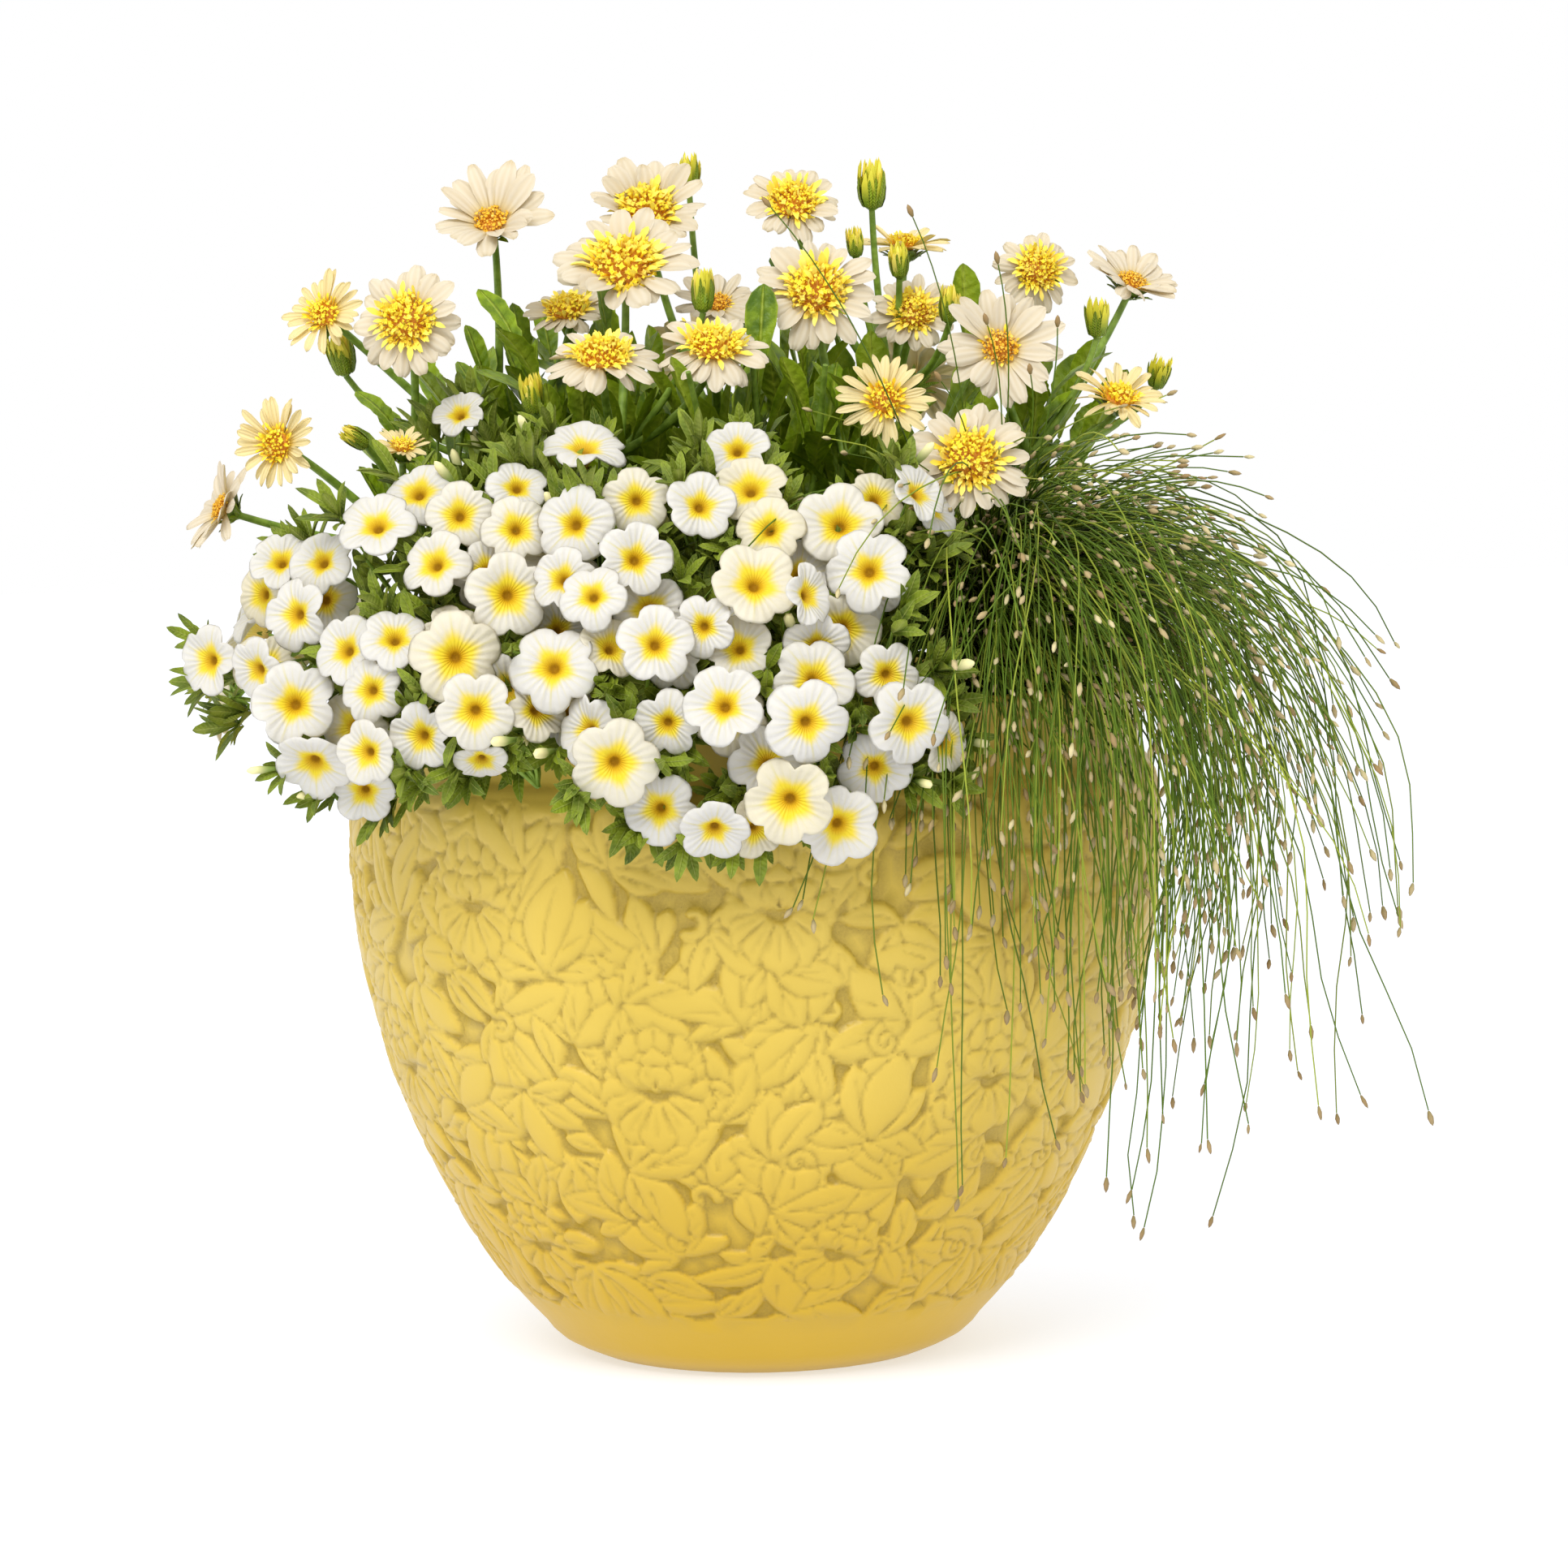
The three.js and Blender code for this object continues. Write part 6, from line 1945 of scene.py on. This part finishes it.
def bloom_stalk(route, bloom, neck):
    """A stalk from the stem to a bloom, from the nearest place that leaves the other blooms free."""
    roots = sorted(route[6:], key=lambda place: np.linalg.norm(place - neck))
    stalks = [bezier([root, (root + neck) / 2 - bloom["normal"] * 12, neck], 6) for root in roots]
    clear = [stalk for stalk in stalks if not any(hides_bloom(point) for point in stalk[1:5])]
    return clear[0] if clear else stalks[0]


def tuft_leaves(heart, out, flat, over, way, count):
    """Leaves round the tip of a shoot, the first ones low and wide open, the last ones upright."""
    rows = []
    for k in range(count):
        turn = 2.4 * k + way
        wide = flat * math.cos(turn) + over * math.sin(turn)
        open_up = 0.25 + 1.2 * (1 - k / 9)
        length = between(11, 19) * (0.72 if heart[2] < 205 else 1)
        ahead, foot = out + wide * open_up, heart - out * (1 - k / 9) * 4
        if not any(hides_bloom(foot + unit(ahead) * length * share) for share in (0.3, 0.55, 0.8, 1)):
            rows.append((foot, (ahead, out * 0.5 - wide), length, int(draw() * 4), draw()))
    return rows


# %% One spray
TUFTS_EACH, DEEP_FROM = 11, 6


class Spray:
    """The lines of a spray's stems, and the points for its blooms, leaves and buds."""

    def __init__(self, own):
        bearings = [math.atan2(b["place"][1], b["place"][0]) % (2 * math.pi) for b in own]
        self.route = spray_stem(sum(bearings) / len(own))
        self.stems = [(self.route[self.route[:, 2] > 216][:13], np.linspace(2.1, 1.2, 13), 0.4)]
        self.blooms, self.leaves, self.sepals, self.buds = [], [], [], []
        for bloom in own:
            self.add_bloom(bloom)

    def add_bloom(self, bloom):
        """A bloom on its stalk, with five sepals and the tufts of leaves round it."""
        normal = bloom["normal"]
        side = unit(np.cross(normal, [0.2, 0.3, 1.0]))
        other = np.cross(normal, side)
        roll = between(0, 2 * math.pi)
        spin = side * math.cos(roll) + other * math.sin(roll)
        self.blooms.append((bloom["place"], (spin, normal), bloom["radius"] * 1.09, int(draw() * 6), draw()))
        neck = bloom["place"] - normal * bloom["radius"] * 0.6
        stalk_line = bloom_stalk(self.route, bloom, neck)
        self.stems.append((stalk_line, np.linspace(0.9, 0.6, 6), 0.6))
        for k in range(5):
            way = 2 * math.pi * k / 5 + roll
            flat = side * math.cos(way) + other * math.sin(way)
            axes_here = normal + flat * 0.8, flat - normal * 0.4
            self.sepals.append((neck - normal * 1.5, axes_here, 6.0, k % 4, draw()))
        for tuft in range(TUFTS_EACH):
            self.add_tuft(bloom, stalk_line[0], side, other, deep=tuft >= DEEP_FROM)

    def add_tuft(self, bloom, root, side, other, deep):
        """A shoot beside or behind a bloom with leaves round its tip, and now and then a bud."""
        way = between(0, 2 * math.pi)
        aside = side * math.cos(way) + other * math.sin(way)
        spot = bloom["place"] + aside * bloom["radius"] * (between(0.2, 1.2) if deep else between(0.75, 1.6))
        out = mound_normal(spot)
        heart = spot - out * (between(16, 34) if deep else between(4, 13))
        shoot = bezier([root, (root + heart) / 2 - out * 9, heart], 5)
        if not has_room(heart, bloom) or any(hides_bloom(point) for point in shoot[1:]):
            return
        self.stems.append((shoot, np.linspace(0.8, 0.5, 5), 0.3))
        flat = unit(np.cross(out, [0.1, 0.2, 1.0]))
        over = np.cross(out, flat)
        self.leaves += tuft_leaves(heart, out, flat, over, way, 7 if deep else 10)
        if draw() < 0.22 and not any(hides_bloom(heart + out * reach) for reach in (4, 9, 14, 20)):
            bud_axes = out + flat * between(-0.5, 0.5), over
            self.buds.append((heart + out * 3, bud_axes, between(13, 18), 0, draw()))


# %% All sprays
SPRAYS = 8
ranked = sorted(blooms, key=lambda b: math.atan2(b["place"][1], b["place"][0]) % (2 * math.pi))
ends = [math.floor(s * len(ranked) / SPRAYS + 0.5) for s in range(SPRAYS + 1)]
draw = seeded_draws(77)
for s in range(SPRAYS):
    spray = Spray(ranked[ends[s] : ends[s + 1]])
    white = [grown(set_out, points_mesh(spray.blooms), Shapes=bloom_shapes, Finish=bloom_film)]
    if spray.buds:
        white.append(grown(set_out, points_mesh(spray.buds), Shapes=bud_shapes, Finish=bud_film))
    green = [
        grown(set_out, points_mesh(spray.leaves + spray.sepals), Shapes=leaflets, Finish=hairy_leaf),
        grown(tubes_on, lines_mesh(spray.stems), Sides=5, Finish=green_stalk),
    ]
    node = f"calibrachoa_spray_{s + 1}"
    place_piece(show(f"calibrachoa_blooms_{s + 1}", joined("blooms", white)), "white_petals", node)
    place_piece(show(f"calibrachoa_leaves_{s + 1}", joined("leaves", green)), "leaf", node)
    print("Spray", s + 1, "has", len(spray.blooms), "blooms and", len(spray.leaves), "leaves")

# %% [markdown]
# ## Fibre-optic grass
#
# The grass is a sedge, Isolepis cernua: hair-thin round stems that rise from one dense crown, arch over and
# hang, each with a small spikelet at its tip. The stems near the crown are nearly black, because no light
# gets between them. A stem is walked in short steps from its root. It leans further at each step, as its own
# weight draws it down, and it slides off the rim where it would cut through the pot. Short stems stand up
# round the crown, and a few long strays cross in front of the daisies, where the picture shows their tips.

# %% One hanging stem
TUFT = np.array([86.0, -54.0, SOIL_TOP - 14.0])
RIM_LEVEL, RIM_INSIDE, RIM_CLEAR = 262, 143, 158.5


def hanging_line(root, way, start_lean, length, stiffness, end_lean, swerve):
    """A stem that starts near upright and is drawn down along its length by its own weight."""
    steps = 8 if length < 120 else 13
    points = [np.array(root, float)]
    for k in range(steps):
        share = (k + 0.5) / steps
        bent = 1 - math.exp(-((share * length / stiffness) ** 1.5))
        lean = start_lean + (end_lean - start_lean) * bent
        heading = way + swerve * share
        lean += 0.13 * math.sin(length * share / 17 + 9 * swerve)
        step = np.array([math.sin(lean) * math.cos(heading), math.sin(lean) * math.sin(heading), math.cos(lean)])
        point = points[-1] + step * length / steps
        from_axis = math.hypot(point[0], point[1])
        if point[2] < RIM_LEVEL and from_axis < RIM_INSIDE:
            point[2] = max(point[2], SOIL_TOP + 10)
        elif point[2] < RIM_LEVEL and from_axis < RIM_CLEAR:
            point[:2] *= RIM_CLEAR / from_axis
        points.append(point)
    return points

def level_way(angle):
    """The level direction at an angle in radians."""
    return np.array([math.cos(angle), math.sin(angle), 0.0])


# %% The tuft's hanging stems
CLUMPS, STEMS_EACH = 64, 27
RIGHT_END, FRONT_END, LOWEST = 243, -206, 52
draw = seeded_draws(47)
grass_lines, spikelet_rows = [], []
for clump in range(CLUMPS):
    share = (clump + 0.5) / CLUMPS
    clump_way = math.radians(-116 + 160 * share**1.05 + between(-4, 4))
    clump_stiffness = between(74, 118)
    clump_length = between(0.72, 1.0) * (205 + 100 * math.exp(-(((share - 0.42) / 0.24) ** 2)))
    clump_end = between(174, 204)
    for stem in range(STEMS_EACH if share < 0.55 else STEMS_EACH * 2 // 3):
        way = clump_way + math.radians(between(-16, 16))
        out = level_way(way)
        root = TUFT + out * between(-12, 20)
        root[2] = SOIL_TOP + between(6, 44)
        if stem % 6 == 0:
            way += math.radians(between(-70, 150))
        size = draw()
        length = clump_length * (0.17 + 0.83 * size**1.2) if size < 0.94 else clump_length * between(1.0, 1.2)
        start_lean, stiffness, swerve = between(0, 56), clump_stiffness * between(0.75, 1.25), between(-1.2, 1.2)
        end_lean = math.radians(clump_end + between(-18, 14))
        # A stem that would reach past the CAD model's tuft is bent sooner, until it doesn't
        for _ in range(6):
            line = hanging_line(root, way, math.radians(start_lean), length, stiffness, end_lean, swerve)
            if max(point[0] for point in line) < RIGHT_END and min(point[1] for point in line) > FRONT_END:
                break
            start_lean, stiffness = start_lean * 0.7, stiffness * 0.86
        line = [point for point in line if point[2] > LOWEST]
        grass_lines.append((line, np.linspace(0.44, 0.3, len(line)), draw()))
        tip_way = line[-1] - line[-2] + np.array([between(-5, 5), between(-5, 5), between(-2, 4)])
        spikelet_rows.append((line[-1], (tip_way, out + [0, 0, 0.1]), between(3.8, 6.2), 0, draw()))
print("Hanging stems:", len(grass_lines))

# %% Short stems and long strays
SHORT_STEMS = 260
# The columns and rows of the picture where the tips of the long strays show
STRAY_TIPS = [(1125, 268), (1230, 326), (1217, 401), (1303, 404), (950, 256), (1160, 470), (1270, 462)]
for _ in range(SHORT_STEMS):
    way = math.radians(between(-150, 60))
    out = level_way(way)
    root = TUFT + out * between(-8, 18)
    root[2] = SOIL_TOP + between(30, 50)
    line = hanging_line(root, way, math.radians(between(0, 46)), between(40, 124), between(60, 110),
                        math.radians(between(96, 158)), between(-0.8, 0.8))
    grass_lines.append((line, np.linspace(0.42, 0.3, len(line)), draw()))
    spikelet_rows.append((line[-1], (line[-1] - line[-2], out + [0, 0, 0.1]), between(3.8, 5.6), 0, draw()))
for col, row in STRAY_TIPS:
    tip, root = seen_at(col, row, -124), TUFT + [-4, -6, 40]
    line = bezier([root, root * 0.45 + tip * 0.55 + [14, -8, 22], tip], 14)
    grass_lines.append((line, np.linspace(0.4, 0.28, 14), 0.2))
    spikelet_rows.append((tip, (line[-1] - line[-2], [0, -1, 0]), 5.4, 0, 1.0))
print("Stems in all:", len(grass_lines))


# %% Sedge and its husks
def grass_tint(tree):
    """Green, painted nearly black as shade in the crown, with painted highlights that make some stems lighter."""
    along, shade = attribute(tree, "along"), attribute(tree, "shade")
    # Painted shade: near black where the stems crowd at the crown, green further out
    deep = blend(tree, map_range(tree, along, 0.08, 0.7), "#0D1303", "#526C06")
    # Painted highlights: some stems lighter, the more so further from the crown
    outer = map_range(tree, along, 0.0, 0.5, 0.3, 0.75)
    light = math_node(tree, "MULTIPLY", map_range(tree, shade, 0.5, 1.0), outer)
    return blend(tree, light, deep, "#A6B038")


def husk_tint(tree):
    """Straw and tan, greener at the foot, and browner on the stems that hang lowest."""
    ripe = blend(tree, attribute(tree, "shade"), "#D2C492", "#96794A")
    colour = blend(tree, map_range(tree, object_height(tree), 0.13, 0.24, 0.7, 0.0), ripe, "#8A6C42")
    return blend(tree, map_range(tree, attribute(tree, "along"), 0.0, 0.6, 0.5, 0.0), colour, "#6B6A2A")


# Smooth round stems with a little gloss, and dry papery husks
grass_skin = finish_material("sedge_stem_skin", grass_tint, 0.6, IOR=1.4)
husk = finish_material("spikelet_husk", husk_tint, 0.7)

# %% The grass as one piece
# The crown's cone gets the stems' colour at their foot: near black, as painted shade
crown_rows = ((4, 16), (20, 19), (44, 22), (62, 14))
crown_rings = [circle(radius, SOIL_TOP + height, 12, middle=TUFT[:2]) for height, radius in crown_rows]
crown_top = (TUFT[0], TUFT[1], SOIL_TOP + 68)
root_crown = plain_body("heart", [[tuple(TUFT)], *crown_rings, [crown_top]], grass_skin)
spikelets = family("spikelet", [spindle("spikelet", [(0.1, 0.1), (0.45, 0.2), (0.8, 0.13)], 4)])
grass = joined("grass", [
    root_crown,
    grown(tubes_on, lines_mesh(grass_lines), Sides=3, Finish=grass_skin),
    grown(set_out, points_mesh(spikelet_rows), Shapes=spikelets, Finish=husk),
])
place_piece(show("hanging_grass", grass), "grass", "grass_tuft")
print("Triangles in the grass:", triangle_counts["hanging_grass"])

# %% [markdown]
# ## Studio
#
# The photograph is a cut-out on white: a broad light from the front and a little from the left, and white
# all round, so the shadows are pale and soft. A white world gives the fill and the white background, and one
# large area light gives the shape. The floor is an opal sheet with a little light under it, as photographers
# use to lose shadows.

# %% Floor and background
WHITE = (1, 1, 1, 1)
FLOOR_REACH = 6000
floor_corners = [(x * FLOOR_REACH, y * FLOOR_REACH, 0) for x, y in ((-1, -1), (1, -1), (1, 1), (-1, 1))]
floor_glow = {"Emission Color": WHITE, "Emission Strength": 0.55}
# Opal glass with a matt face, lit a little from below
# Its faint blue is painted to cancel the yellow light that the pot throws onto the floor
light_table = finish_material("opal_light_table", "#BABEC8", 0.9, **floor_glow)
show("studio_floor", mesh_of("floor", floor_corners, [(0, 1, 2, 3)]), light_table)
world = bpy.data.worlds.new("white_studio")
world.use_nodes = True
world.node_tree.nodes["Background"].inputs["Color"].default_value = WHITE
world.node_tree.nodes["Background"].inputs["Strength"].default_value = 1.0
bpy.context.scene.world = world


# %% Key light
def area_light(name, place, target, size, power):
    """A round area light at a place in metres that shines at a target."""
    light = bpy.data.lights.new(name, "AREA")
    light.shape, light.size, light.energy = "DISK", size, power
    obj = bpy.data.objects.new(name, light)
    bpy.context.scene.collection.objects.link(obj)
    way = Vector(target) - Vector(place)
    obj.matrix_world = Matrix.Translation(Vector(place)) @ way.to_track_quat("-Z", "Y").to_matrix().to_4x4()
    print("Light:", name, "of", power, "watts,", round(way.length, 2), "metres from the planter")


area_light("key", place=(-0.6, -2.1, 2.5), target=(0, 0, 0.25), size=1.9, power=62)
bpy.context.scene.view_settings.view_transform = "Standard"
bpy.context.scene.view_settings.look = "None"

# %% Sizes and finish
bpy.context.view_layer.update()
print("Triangles:", triangle_counts, "in all", sum(triangle_counts.values()))
# The shapes that the trees picked from aren't part of the planter
for group in families:
    for obj in list(group.objects):
        bpy.data.objects.remove(obj)
    bpy.data.collections.remove(group)
